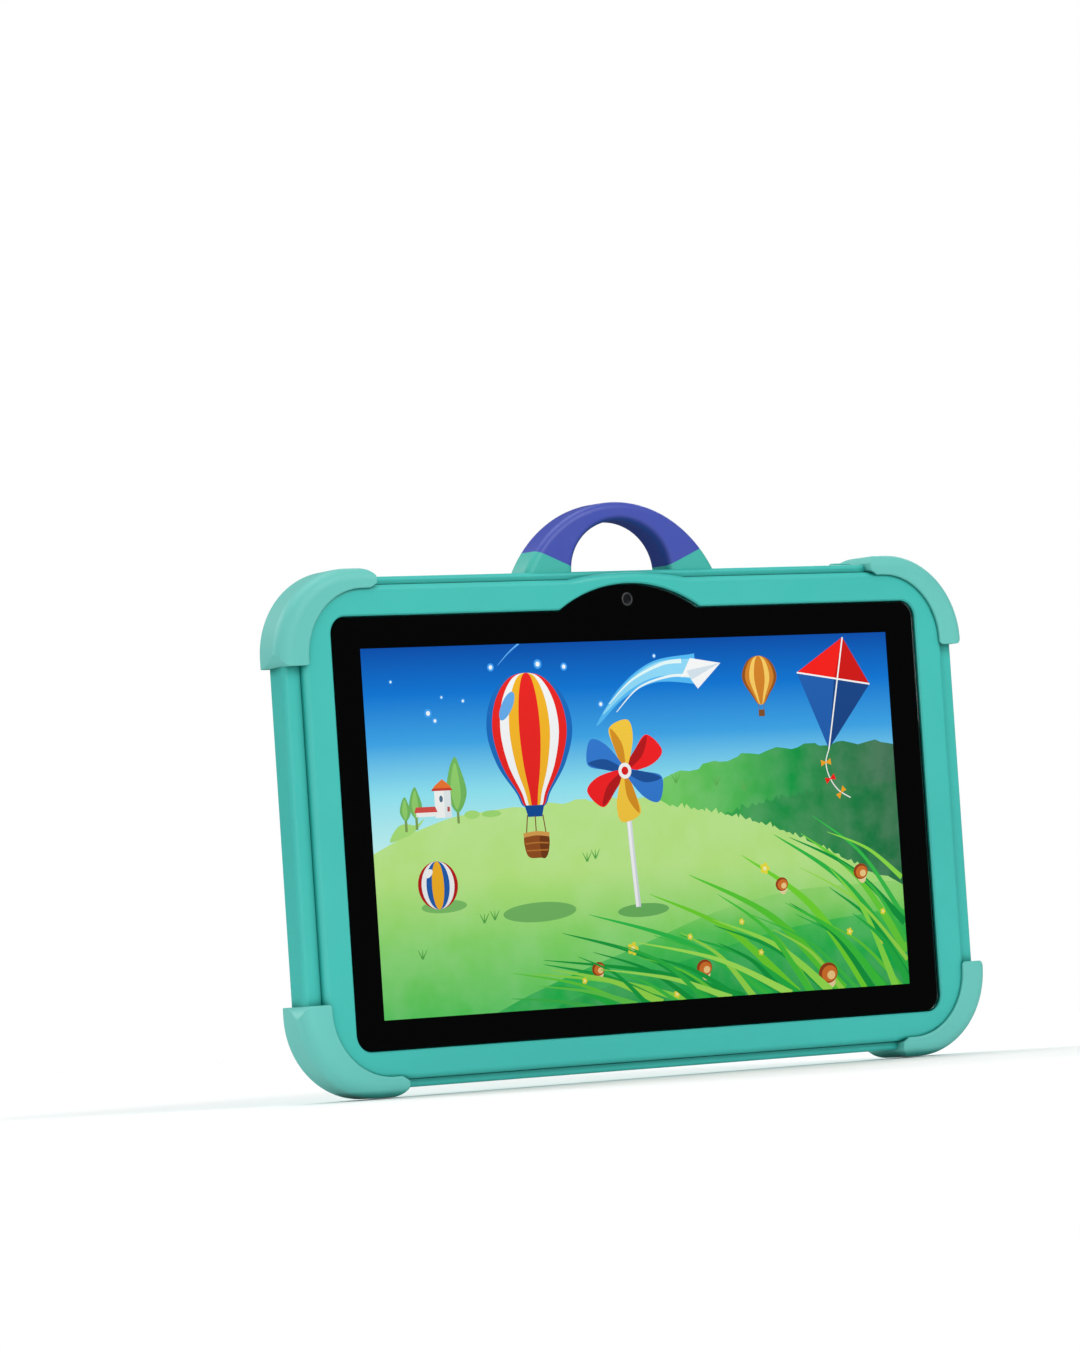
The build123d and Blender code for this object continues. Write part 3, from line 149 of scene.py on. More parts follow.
def bump(tree, shader, height, strength, distance):
    """A fine surface relief; distance is how deep it is."""
    node = tree.nodes.new("ShaderNodeBump")
    node.inputs["Strength"].default_value = strength
    node.inputs["Distance"].default_value = distance
    tree.links.new(height, node.inputs["Height"])
    tree.links.new(node.outputs["Normal"], shader.inputs["Normal"])


def hollow_shade(tree):
    """Mask for painted shade: 0 in narrow grooves and inside corners, where shade falls, 1 on open surfaces.
    """
    node = tree.nodes.new("ShaderNodeAmbientOcclusion")
    node.samples = HOLLOW_SHADE_SAMPLES
    node.inputs["Distance"].default_value = HOLLOW_SHADE_REACH
    return remap(tree, node.outputs["AO"], 0.35, 0.95, 0.0, 1.0)


def inward_wall_shade_mask(tree, centre):
    """Mask for painted shade on the walls of an opening: 1 where a surface faces an axis along Y through the
    centre, 0 on its sides and outside.
    """
    value = object_coords(tree)
    for operation, operand in (("SUBTRACT", centre), ("MULTIPLY", (1.0, 0.0, 1.0)), ("NORMALIZE", None)):
        node = tree.nodes.new("ShaderNodeVectorMath")
        node.operation = operation
        tree.links.new(value, node.inputs[0])
        if operand is not None:
            node.inputs[1].default_value = operand
        value = node.outputs["Vector"]
    dot = tree.nodes.new("ShaderNodeVectorMath")
    dot.operation = "DOT_PRODUCT"
    tree.links.new(value, dot.inputs[0])
    tree.links.new(tree.nodes.new("ShaderNodeTexCoord").outputs["Normal"], dot.inputs[1])
    return remap(tree, dot.outputs["Value"], -0.8, -0.3, 1.0, 0.0)


# ---------------------------------------------------------------- materials
# Noise scales are in cells per metre.
FLOW_SCALE = 26.0
RUB_SCALE = 90.0
GRAIN_SCALE = 5200.0
POLISH_SCALE = 60.0


def moulded(
    name, colour, deep, roughness, grain=0.35, grain_scale=GRAIN_SCALE, coat=0.0, sheen=0.0,
    heights=(), inner=None,
):
    """Moulded plastic: a fine spark-eroded grain, faint flow marks and painted shade, a deeper colour, in
    grooves and inside corners.

    heights are (Y, colour) pairs where the tone changes with the height of the surface.
    inner is (centre, colour) for painted shade on the walls of an opening that face its centre.
    """
    material, tree, shader = new_material(name)
    flow = remap(tree, noise(tree, FLOW_SCALE, 3.0), 0.3, 0.7, 0.0, 1.0)
    body = mix(tree, flow, shade(colour, 0.965), shade(colour, 1.03))
    if heights:
        split = tree.nodes.new("ShaderNodeSeparateXYZ")
        tree.links.new(object_coords(tree), split.inputs[0])
        for (from_y, _), (to_y, tone) in zip(heights, heights[1:]):
            body = mix(tree, remap(tree, split.outputs["Y"], from_y, to_y, 0.0, 1.0), body, tone)
    # Painted shade: the walls of the opening turn to a darker colour.
    if inner:
        body = mix(tree, inward_wall_shade_mask(tree, inner[0]), body, inner[1])
    # Painted shade: the deep colour takes over in grooves and inside corners.
    tree.links.new(mix(tree, hollow_shade(tree), deep, body), shader.inputs["Base Color"])
    rub = remap(tree, noise(tree, RUB_SCALE, 5.0, 0.65), 0.3, 0.75, roughness - 0.05, roughness + 0.06)
    tree.links.new(rub, shader.inputs["Roughness"])
    bump(tree, shader, noise(tree, grain_scale, 2.0, 0.6), grain, RELIEF)
    shader.inputs["Coat Weight"].default_value = coat
    shader.inputs["Coat Roughness"].default_value = 0.25
    shader.inputs["Sheen Weight"].default_value = sheen
    return material


DRAWN_LINES = (900.0, 60.0, 900.0)


def metal(name, colour, roughness):
    """Plated or stamped sheet metal with fine drawn lines."""
    material, tree, shader = new_material(name)
    mapping = tree.nodes.new("ShaderNodeMapping")
    mapping.inputs["Scale"].default_value = DRAWN_LINES
    tree.links.new(object_coords(tree), mapping.inputs["Vector"])
    lines = tree.nodes.new("ShaderNodeTexNoise")
    lines.inputs["Scale"].default_value = 1.0
    lines.inputs["Detail"].default_value = 4.0
    tree.links.new(mapping.outputs["Vector"], lines.inputs["Vector"])
    streaks = lines.outputs["Fac"]
    body = mix(tree, streaks, shade(colour, 0.8), shade(colour, 1.1))
    tree.links.new(body, shader.inputs["Base Color"])
    polish = remap(tree, streaks, 0.3, 0.7, roughness - 0.06, roughness + 0.08)
    tree.links.new(polish, shader.inputs["Roughness"])
    shader.inputs["Metallic"].default_value = 1.0
    bump(tree, shader, streaks, 0.15, RELIEF)
    return material


def clear_glass():
    """Cover glass: clear, with a trace of unevenness in its polish."""
    material, tree, shader = new_material("clear_glass")
    shader.inputs["Transmission Weight"].default_value = 1.0
    shader.inputs["IOR"].default_value = 1.45
    faint = noise(tree, 30.0, 2.0)
    tree.links.new(mix(tree, faint, rgb("F8FCFC"), rgb("FFFFFF")), shader.inputs["Base Color"])
    tree.links.new(remap(tree, faint, 0.3, 0.7, 0.0, 0.015), shader.inputs["Roughness"])
    return material


# Where the painted reflection's edge lies across the window, and how soft that edge is.
REFLECTION_LINE = 0.24
REFLECTION_BLUR = 0.02


def glossy_black(name, colour, roughness=0.06, painted_reflection=None):
    """Black lacquer, ink or tinted glass; the last argument is (node, colour) for a painted reflection, a
    paler part below its diagonal.
    """
    material, tree, shader = new_material(name)
    cloud = noise(tree, POLISH_SCALE, 2.0)
    body = mix(tree, cloud, colour, shade(colour, 1.5))
    # Painted reflection: a paler colour on one side of a diagonal line.
    if painted_reflection:
        centre, half = middle(painted_reflection[0]), (Vector(high(painted_reflection[0])) - Vector(low(painted_reflection[0]))) / 2
        slope = Vector((-1 / half.x, 0.0, 1 / half.z))
        rise = tree.nodes.new("ShaderNodeVectorMath")
        rise.operation = "DOT_PRODUCT"
        rise.inputs[1].default_value = slope
        tree.links.new(object_coords(tree), rise.inputs[0])
        line = slope.dot(centre) + REFLECTION_LINE
        above = remap(tree, rise.outputs["Value"], line - REFLECTION_BLUR, line + REFLECTION_BLUR, 0.0, 1.0)
        body = mix(tree, above, painted_reflection[1], body)
    tree.links.new(body, shader.inputs["Base Color"])
    polish = remap(tree, cloud, 0.3, 0.7, roughness, roughness + 0.03)
    tree.links.new(polish, shader.inputs["Roughness"])
    shader.inputs["Specular IOR Level"].default_value = 0.4
    return material


THREAD_SCALE = 1800.0
THREAD_RELIEF = 0.05 * MM


def woven(name, colour):
    """Fine dust mesh: two crossed sets of threads."""
    material, tree, shader = new_material(name)
    waves = []
    for direction in ("X", "Z"):
        wave = tree.nodes.new("ShaderNodeTexWave")
        wave.bands_direction = direction
        wave.inputs["Scale"].default_value = THREAD_SCALE
        tree.links.new(object_coords(tree), wave.inputs["Vector"])
        waves.append(wave.outputs["Fac"])
    weave = tree.nodes.new("ShaderNodeMath")
    weave.operation = "MAXIMUM"
    tree.links.new(waves[0], weave.inputs[0])
    tree.links.new(waves[1], weave.inputs[1])
    body = mix(tree, weave.outputs[0], shade(colour, 0.2), colour)
    tree.links.new(body, shader.inputs["Base Color"])
    shader.inputs["Roughness"].default_value = 0.7
    bump(tree, shader, weave.outputs[0], 0.6, THREAD_RELIEF)
    return material


TRACK_SCALE = 420.0
TRACK_GAP = 0.12


def circuit_board():
    """Green solder mask over a faint pattern of tracks."""
    material, tree, shader = new_material("board_green")
    brick = tree.nodes.new("ShaderNodeTexBrick")
    brick.inputs["Scale"].default_value = TRACK_SCALE
    brick.inputs["Mortar Size"].default_value = TRACK_GAP
    brick.inputs["Color1"].default_value = rgb("0F4A26")
    brick.inputs["Color2"].default_value = rgb("125A2E")
    brick.inputs["Mortar"].default_value = rgb("2E7A45")
    swap = tree.nodes.new("ShaderNodeMapping")
    swap.inputs["Rotation"].default_value = (pi / 2, 0.0, 0.0)
    tree.links.new(object_coords(tree), swap.inputs["Vector"])
    tree.links.new(swap.outputs["Vector"], brick.inputs["Vector"])
    tree.links.new(brick.outputs["Color"], shader.inputs["Base Color"])
    shader.inputs["Roughness"].default_value = 0.35
    return material


SCREEN_GLOW = 1.0


def lit_paint(name, stops, axis, span, speckle=0.0, speckle_scale=0.0):
    """A colour of the lit picture: a run of colours along one axis, with optional speckle."""
    material, tree, shader = new_material(name)
    split = tree.nodes.new("ShaderNodeSeparateXYZ")
    tree.links.new(object_coords(tree), split.inputs[0])
    ramp = tree.nodes.new("ShaderNodeValToRGB")
    while len(ramp.color_ramp.elements) < len(stops):
        ramp.color_ramp.elements.new(0.5)
    for element, (place, code) in zip(ramp.color_ramp.elements, stops):
        element.position = place
        element.color = rgb(code)
    place = remap(tree, split.outputs[axis], span[0], span[1], 0.0, 1.0)
    tree.links.new(place, ramp.inputs["Fac"])
    colour = ramp.outputs["Color"]
    if speckle:
        cloud = remap(tree, noise(tree, speckle_scale, 3.0), 0.35, 0.65, 0.0, speckle)
        colour = mix(tree, cloud, colour, rgb("FFFFFF"))
    shader.inputs["Base Color"].default_value = (0.0, 0.0, 0.0, 1.0)
    shader.inputs["Roughness"].default_value = 0.5
    shader.inputs["Specular IOR Level"].default_value = 0.0
    tree.links.new(colour, shader.inputs["Emission Color"])
    shader.inputs["Emission Strength"].default_value = SCREEN_GLOW
    return material


# The deep colours are painted shade for grooves and inside corners.
TEAL = rgb("3DBDB3")
TEAL_HOLLOW_SHADE = rgb("00857B")
PANEL_TEAL = rgb("58C1B5")
# A painted highlight for the bevels of the back's raised panels.
EDGE_HIGHLIGHT_TEAL = rgb("4AC2BA")
RECESS_TEAL = rgb("42AFA8")
BUMPER_TEAL = rgb("63C3B9")
BUMPER_HOLLOW_SHADE = rgb("008A80")
BLUE = rgb("4150AE")
BLUE_HOLLOW_SHADE = rgb("10226E")

# The second colour of each moulded material is its painted shade in grooves and inside corners.
MATERIALS = {
    "case_teal": moulded("case_teal", TEAL, TEAL_HOLLOW_SHADE, 0.42),
    "kickstand_teal": moulded("kickstand_teal", PANEL_TEAL, TEAL_HOLLOW_SHADE, 0.40),
    "bumper_teal": moulded("bumper_teal", BUMPER_TEAL, BUMPER_HOLLOW_SHADE, 0.50, 0.25, 3600.0, sheen=0.08),
    # The handle and the grip darken on the walls of the finger gap: painted shade.
    "handle_teal": moulded(
        "handle_teal", rgb("3FB5A8"), TEAL_HOLLOW_SHADE, 0.42, inner=(FINGER_GAP, rgb("1F9A90")),
    ),
    "grip_blue": moulded(
        "grip_blue", BLUE, BLUE_HOLLOW_SHADE, 0.42, 0.25, 3200.0, inner=(FINGER_GAP, rgb("1B3283")),
    ),
    "key_teal": moulded("key_teal", rgb("35AFA3"), TEAL_HOLLOW_SHADE, 0.38),
    "plug_white": moulded("plug_white", rgb("F4F2EE"), rgb("C9C6C0"), 0.45),
    "adhesive_black": moulded("adhesive_black", rgb("1A1A1A"), rgb("050505"), 0.8, 0.8, 2200.0),
    "backlight_white": moulded("backlight_white", rgb("E8E8E4"), rgb("B0B0AA"), 0.5),
    "flex_amber": moulded("flex_amber", rgb("B0742A"), rgb("6A4012"), 0.3),
    "battery_silver": moulded("battery_silver", rgb("9EA1A6"), rgb("5C5F63"), 0.3, 0.5, 900.0),
    "component_black": moulded("component_black", rgb("1C1C1E"), rgb("060606"), 0.5),
    "screw_steel": metal("screw_steel", rgb("B9BABC"), 0.3),
    "plate_steel": metal("plate_steel", rgb("C6C8CB"), 0.32),
    "clear_glass": clear_glass(),
    "ink_black": glossy_black("ink_black", rgb("030303"), 0.3),
    "display_dark": glossy_black("display_dark", rgb("08090C"), 0.2),
    # The camera window's paler lower part is a painted reflection.
    "window_black": glossy_black(
        "window_black", rgb("060606"), 0.05, ("camera_window", rgb("3B3B39")),
    ),
    "flash_yellow": moulded("flash_yellow", rgb("F0DDA0"), rgb("B09040"), 0.3, coat=0.5),
    "mesh_black": woven("mesh_black", rgb("2A2C2E")),
    "board_green": circuit_board(),
}

for entry in frame["record"]["subparts"]:
    for material_slot in frame["nodes"][entry["node"]].material_slots:
        material_slot.material = MATERIALS[entry["material_slot"]]

# The back's raised panels are paler than the field round them, with a painted highlight, a bright edge
# colour, on the bevel between.
back_teal = moulded("back_teal", TEAL, TEAL_HOLLOW_SHADE, 0.42, heights=(
    (BACK_Y - 0.9 * MM, TEAL), (BACK_Y - 0.1 * MM, RECESS_TEAL), (BACK_Y + 0.4 * MM, EDGE_HIGHLIGHT_TEAL),
    (PANEL_Y - 0.05 * MM, PANEL_TEAL),
))
frame["nodes"]["rear_shell"].material_slots[0].material = back_teal


# ---------------------------------------------------------------- outlines
def around(centre, radius, angle):
    """The point of a circle at this angle."""
    return (centre[0] + radius * cos(angle), centre[1] + radius * sin(angle))


def tilted(points, x, z, turn):
    """The points turned about the origin, then moved by x, z."""
    return [(x + px * cos(turn) - pz * sin(turn), z + px * sin(turn) + pz * cos(turn))
            for px, pz in points]


def ellipse(x, z, rx, rz=None, turn=0.0, start=0.0, end=2 * pi, count=40):
    """Points round an ellipse or part of one; turn tilts it."""
    rz = rx if rz is None else rz
    whole = end - start == 2 * pi
    steps = count if whole else count + 1
    points = []
    for i in range(steps):
        angle = start + (end - start) * i / count
        points.append((rx * cos(angle), rz * sin(angle)))
    return tilted(points, x, z, turn)


def curve_run(p0, p1, p2, p3, count):
    """Points of the smooth curve from p1 up to p2, which p0 and p3 lie before and after."""
    run = []
    for step in range(count):
        t = step / count
        run.append(0.5 * (2 * p1 + (p2 - p0) * t + (2 * p0 - 5 * p1 + 4 * p2 - p3) * t * t
                          + (3 * p1 - p0 - 3 * p2 + p3) * t * t * t))
    return run


def smooth(points, count=8):
    """A closed smooth outline through these points."""
    total = len(points)
    out = []
    for i in range(total):
        corners = [Vector(points[(i + k) % total]) for k in (-1, 0, 1, 2)]
        out += [(q.x, q.y) for q in curve_run(*corners, count)]
    return out


class Strip(list):
    """The outline of a narrow shape, along one side and back along the other, filled with quads."""


BAND_STEPS = 10


def band(points, width, tip=None):
    """A ribbon along an open smooth line; the width runs to tip at its far end."""
    tip = width if tip is None else tip
    ends = [points[0], *points, points[-1]]
    line = []
    for i in range(1, len(ends) - 2):
        corners = [Vector(ends[i + k]) for k in (-1, 0, 1, 2)]
        line += curve_run(*corners, BAND_STEPS)
    line.append(Vector(points[-1]))
    last = len(line) - 1
    left, right = [], []
    for i, point in enumerate(line):
        ahead = line[min(i + 1, last)] - line[max(i - 1, 0)]
        side = Vector((-ahead.y, ahead.x)).normalized() * (width + (tip - width) * i / last) / 2
        left.append(tuple(point + side))
        right.append(tuple(point - side))
    return Strip(left + right[::-1])


RING_SLIT = 1e-3


def ring(x, z, outer, inner, start=0.0, end=2 * pi, count=32):
    """A ring, whole but for a hair's breadth, or part of one."""
    outside = ellipse(x, z, outer, outer, 0.0, start, end - RING_SLIT, count)
    inside = ellipse(x, z, inner, inner, 0.0, start, end - RING_SLIT, count)
    return Strip(outside + inside[::-1])


def box_outline(x0, z0, x1, z1):
    return [(x0, z0), (x1, z0), (x1, z1), (x0, z1)]


# ---------------------------------------------------------------- pieces
def add_prism(mesh, outline, place, near, far, index):
    """A closed flat solid; place(x, z, depth) gives a point of the object."""
    count = len(outline)
    front = [mesh.verts.new(place(x, z, near)) for x, z in outline]
    back = [mesh.verts.new(place(x, z, far)) for x, z in outline]
    faces = []
    for side in (front, back):
        if isinstance(outline, Strip):
            faces += [mesh.faces.new((side[i], side[i + 1], side[-i - 2], side[-i - 1]))
                      for i in range(count // 2 - 1)]
        else:
            faces.append(mesh.faces.new(side))
    for i in range(count):
        j = (i + 1) % count
        faces.append(mesh.faces.new((front[j], front[i], back[i], back[j])))
    for face in faces:
        face.material_index = index


def finish_piece(name, mesh, materials, body):
    """Turns the mesh into an object that rides on a body and takes its finish from a slot."""
    bmesh.ops.triangulate(mesh, faces=[f for f in mesh.faces if len(f.verts) > 4])
    bmesh.ops.recalc_face_normals(mesh, faces=mesh.faces)
    data = bpy.data.meshes.new(name)
    mesh.to_mesh(data)
    mesh.free()
    piece = bpy.data.objects.new(name, data)
    bpy.context.scene.collection.objects.link(piece)
    for material in materials:
        data.materials.append(material)
    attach(piece, body)


# ---------------------------------------------------------------- screen picture
# The picture is a stack of thin layers between the display and the glass. Layer 0 is the farthest.
SCREEN_LEFT = DISPLAY_MID.x - DISPLAY_W / 2
SCREEN_LOW = DISPLAY_MID.z - DISPLAY_H / 2
LAYER_STEP = 0.006 * MM
LAYER_THICK = 0.004 * MM
GROUND_LAYER = 0
FAR_LAYER = 6
TOY_LAYER = 10
PLANE_LAYER = 12
MID_GRASS_LAYER = 22
FLOWER_LAYER = 34
NEAR_GRASS_LAYER = 41
paints = {}


def on_screen(x, z, depth):
    """Picture coordinates run in millimetres from the lower left corner of the display."""
    return (SCREEN_LEFT + x * MM, depth, SCREEN_LOW + z * MM)


def rows(low_z, high_z):
    """Heights of the picture, as a span in metres."""
    return (SCREEN_LOW + low_z * MM, SCREEN_LOW + high_z * MM)


def columns(low_x, high_x):
    """Places across the picture, as a span in metres."""
    return (SCREEN_LEFT + low_x * MM, SCREEN_LEFT + high_x * MM)


PAINT_DARKER = 0.92
PAINT_LIGHTER = 1.06
PAINT_LIFT = 6


def paint(code):
    """A lit picture colour with a faint change of tone, made once for each colour code."""
    if code not in paints:
        darker = "".join(f"{int(v * PAINT_DARKER):02X}" for v in hex_bytes(code))
        lifted = [min(BYTE_MAX, int(v * PAINT_LIGHTER + PAINT_LIFT)) for v in hex_bytes(code)]
        lighter = "".join(f"{v:02X}" for v in lifted)
        paints[code] = lit_paint(f"paint_{code}", [(0.0, darker), (1.0, lighter)], "Z", rows(10, 80))
    return paints[code]


def picture(name, shapes, first_layer):
    """One motif: shapes are (outline, colour code or material), each laid over the one before."""
    mesh = bmesh.new()
    materials = []
    for level, (outline, colour) in enumerate(shapes):
        material = paint(colour) if isinstance(colour, str) else colour
        if material not in materials:
            materials.append(material)
        depth = ART_FAR_Y - (first_layer + level) * LAYER_STEP
        add_prism(mesh, outline, on_screen, depth - LAYER_THICK, depth, materials.index(material))
    finish_piece(name, mesh, materials, "case")


def grass_edge(start, end, height, teeth, sway=0.0):
    """A ragged line of grass tips between two points; sway lifts its middle."""
    points = []
    width, rise = end[0] - start[0], end[1] - start[1]
    for i in range(teeth):
        t = i / teeth
        x = start[0] + width * t
        z = start[1] + rise * t + sway * sin(pi * t)
        lean = 0.25 + 0.55 * sin(i * 1.9) ** 2
        tall = height * (0.35 + 0.65 * sin(i * 2.4) ** 2)
        points.append((x, z))
        points.append((x + width / teeth * lean, z + tall))
    points.append(end)
    return points


# The land and sky run this far behind the black border, in millimetres.
MARGIN = 0.6
WIDE = DISPLAY_W / MM
TALL = DISPLAY_H / MM
sky = lit_paint(
    "paint_sky",
    [(0.0, "C8F4F2"), (0.32, "8FE3F2"), (0.55, "3FA6E8"), (0.78, "0B78D6"), (1.0, "0450AE")],
    "Z", rows(36, 86),
)
near_meadow = lit_paint(
    "paint_near_meadow",
    [(0.0, "4FBF55"), (0.35, "7FD063"), (0.7, "B4E27C"), (1.0, "B9E486")],
    "Z", rows(0, 46), speckle=0.06, speckle_scale=120.0,
)
far_hill = lit_paint(
    "paint_far_hill",
    [(0.0, "6FCB5C"), (0.3, "4FB955"), (0.55, "139A45"), (0.75, "1F7F45"), (1.0, "2E6E48")],
    "X", columns(84, 154), speckle=0.05, speckle_scale=160.0,
)
near_ridge = lit_paint(
    "paint_near_ridge",
    [(0.0, "48B552"), (0.4, "1B9344"), (1.0, "1A7040")],
    "X", columns(92, 154), speckle=0.05, speckle_scale=160.0,
)
rich_meadow = lit_paint(
    "paint_rich_meadow",
    [(0.0, "12A843"), (0.3, "17AD46"), (0.62, "4FC04C"), (0.85, "86D062"), (1.0, "8ED468")],
    "Z", rows(0, 25), speckle=0.05, speckle_scale=140.0,
)
deep_meadow = lit_paint(
    "paint_deep_meadow",
    [(0.0, "079C40"), (0.5, "10A843"), (1.0, "3CBA4A")],
    "Z", rows(0, 18), speckle=0.05, speckle_scale=140.0,
)

RIGHT = WIDE + MARGIN
land = [
    (box_outline(-MARGIN, -MARGIN, RIGHT, TALL + MARGIN), sky),
    ([(78, 26), (RIGHT, 8), (RIGHT, 58.4)]
     + grass_edge((RIGHT, 58.0), (84, 51.5), 1.7, 30, 2.6)
     + [(78, 47)], far_hill),
    (grass_edge((RIGHT, 49.0), (92, 41.0), 1.2, 26, 2.0) + [(92, 34), (RIGHT, 8)], near_ridge),
    ([(-MARGIN, -MARGIN), (RIGHT, -MARGIN), (RIGHT, 24), (150, 26.5)]
     + grass_edge((146, 27.0), (86, 46.0), 1.5, 30, 3.2)
     + grass_edge((84, 47.0), (40, 46.2), 1.3, 20, 1.0)
     + smooth([(38, 46), (26, 46.4), (14, 43.6), (4, 40), (-MARGIN, 38)])[8:-16]
     + [(-MARGIN, 38)], near_meadow),
    (smooth([(60, -MARGIN), (100, -MARGIN), (RIGHT, -MARGIN), (RIGHT, 12), (RIGHT, 24), (140, 25),
             (118, 24), (96, 20), (76, 14), (52, 7), (36, 1.5), (34, -MARGIN)], 6), rich_meadow),
    (smooth([(70, -MARGIN), (104, -MARGIN), (RIGHT, -MARGIN), (RIGHT, 9), (RIGHT, 18), (140, 17.5),
             (120, 15.5), (100, 12), (80, 7.6), (60, 3.4), (48, -MARGIN)], 6), deep_meadow),
]
picture("screen_land", land, GROUND_LAYER)

# Sky: stars and a paper plane with its bright trail.
STAR_HALO = 1.9
STARS = (
    (18.0, 70.4, 0.55), (19.8, 68.6, 0.4), (36.5, 80.6, 0.5), (50.0, 81.0, 0.6), (57.5, 80.2, 0.5),
    (67.5, 71.0, 0.45), (22.0, 74.0, 0.25), (28.0, 73.0, 0.3), (84.0, 82.0, 0.3), (8.0, 78.0, 0.25),
)
stars = []
for x, z, size in STARS:
    stars.append((ellipse(x, z, size * STAR_HALO, count=20), "3B97E6"))
    stars.append((ellipse(x, z, size, count=16), "E9FBFF"))
picture("screen_stars", stars, FAR_LAYER)
swoosh = [
    (band([(66, 66), (74, 73.5), (84, 78.2), (96, 78.6)], 0.4, 7.4), "4FB0E8"),
    (band([(68, 68.6), (76, 75.0), (85, 78.8), (96, 78.6)], 0.3, 5.0), "86CDF0"),
    (band([(70, 71), (77, 76.4), (86, 80.0), (92, 80.6)], 0.2, 1.1), "D8F6FB"),
    (band([(72, 69), (79, 74.6), (88, 77.0), (94.5, 77.0)], 0.2, 0.8), "E2F8FC"),
    (band([(38.5, 81), (42, 84), (45, 86)], 0.1, 0.5), "5AA8EA"),
]
picture("screen_trail", swoosh, FAR_LAYER)
plane = [
    ([(91.6, 76.6), (103.6, 79.8), (94.6, 81.2)], "FFFFFF"),
    ([(94.6, 76.0), (103.6, 79.8), (93.4, 78.2)], "C9D6DF"),
    ([(94.6, 76.0), (103.6, 79.8), (96.4, 73.8)], "EDF3F6"),
]
picture("screen_paper_plane", plane, PLANE_LAYER)


# Far away: trees, bushes and a little house.
def leaf_tree(x, z, width, height):
    """A slim tree: a trunk, a dark side and a light side."""
    dark = [(0.0, 0.0), (0.5, 0.35), (0.2, 0.85), (0.0, 1.0), (-0.3, 0.8), (-0.5, 0.35)]
    light = [(-0.05, 0.06), (0.2, 0.35), (0.0, 0.9), (-0.3, 0.45)]
    return [
        (band([(x, z - 2.5), (x, z + 1)], 0.7), "7A9A52"),
        (smooth([(x + px * width, z + pz * height) for px, pz in dark]), "6FB25A"),
        (smooth([(x + px * width, z + pz * height) for px, pz in light]), "8CC968"),
    ]


far_away = (leaf_tree(24.6, 47.0, 5.6, 13.0) + leaf_tree(12.8, 46.0, 3.6, 7.4)
            + leaf_tree(9.8, 45.6, 3.0, 5.6))
far_away += [
    (box_outline(18.2, 46.0, 22.8, 52.6), "F7F7F2"),
    (box_outline(20.9, 46.0, 22.8, 52.6), "DDE4E6"),
    ([(17.4, 52.3), (23.4, 52.3), (22.6, 53.5), (20.6, 55.0), (18.4, 53.5)], "E4702C"),
    ([(17.4, 52.3), (23.4, 52.3), (23.0, 52.9), (17.8, 52.9)], "C33A2A"),
    (box_outline(12.8, 46.4, 18.6, 47.6), "F3EFEA"),
    ([(12.2, 47.4), (18.8, 47.4), (18.2, 48.7), (12.8, 48.7)], "CF4A44"),
    (ellipse(20.0, 50.4, 0.5, 0.8, count=16), "4E6C86"),
    (box_outline(21.6, 47.4, 22.3, 48.5), "B9504A"),
]
picture("screen_house", far_away, FAR_LAYER)
picture("screen_bushes", [
    (smooth([(5, 41), (7, 44), (9.5, 45), (12.5, 44.6), (15, 46), (12, 43), (8, 41.5)]), "A6DA74"),
    (ellipse(28.5, 46.4, 2.2, 1.0, count=20), "A3D873"),
    (ellipse(34.0, 46.4, 2.8, 0.8, count=20), "9BD46E"),
], FAR_LAYER)
picture("screen_shadows", [
    (ellipse(46.0, 22.8, 10.5, 2.3, 0.02), "74B862"),
    (ellipse(76.0, 21.8, 7.5, 1.6, 0.02), "6CB45E"),
    (ellipse(19.0, 25.4, 6.4, 1.5, 0.02), "7BBF66"),
], FAR_LAYER)


# ---------------------------------------------------------------- toys in the picture
def squeezed(outline, x, factor):
    """The outline drawn narrower about a vertical line, as the gores of a balloon or ball look."""
    return [(x + (px - x) * factor, z) for px, z in outline]


GORE_CURVE = 1.25


def gores(outline, x, colours):
    """Upright stripes that narrow towards the middle."""
    total = len(colours)
    return [(squeezed(outline, x, 1 - (k / total) ** GORE_CURVE), colour)
            for k, colour in enumerate(colours)]


# A striped hot-air balloon with a basket.
envelope = smooth([
    (34.2, 65.6), (36.0, 73.2), (41.8, 78.4), (50.8, 78.4), (56.8, 73.2), (58.8, 65.6),
    (56.2, 57.6), (51.4, 51.0), (49.2, 47.6), (43.6, 47.6), (41.4, 51.0), (36.6, 57.6),
])
balloon = gores(envelope, 46.5, ["1464B4", "E2201C", "FBFBFA", "F6AE22", "E2201C"])
balloon += [
    (ellipse(40.4, 71.4, 1.5, 3.8, -0.55), "5FA2DE"),
    ([(43.6, 47.9), (49.2, 47.9), (48.4, 45.2), (44.4, 45.2)], "0B4690"),
    (band([(44.2, 45.6), (43.5, 40.6)], 0.3), "7A4A22"),
    (band([(48.6, 45.6), (49.3, 40.6)], 0.3), "7A4A22"),
    (band([(46.4, 45.4), (46.4, 40.6)], 0.3), "7A4A22"),
    (smooth([(42.9, 40.8), (46.4, 41.1), (49.9, 40.8), (49.3, 36.2), (46.4, 35.5), (43.5, 36.2)]), "8E4A1C"),
    (smooth([(47.4, 40.8), (49.9, 40.7), (49.3, 36.2), (47.6, 35.7)]), "6E3612"),
    (band([(42.7, 40.9), (46.4, 41.3), (50.1, 40.9)], 1.0), "D39A4C"),
    (band([(43.1, 38.9), (46.4, 39.1), (49.7, 38.9)], 0.35), "B4702C"),
    (band([(43.4, 37.3), (46.4, 37.3), (49.4, 37.3)], 0.35), "B4702C"),
]
picture("screen_balloon", balloon, TOY_LAYER)
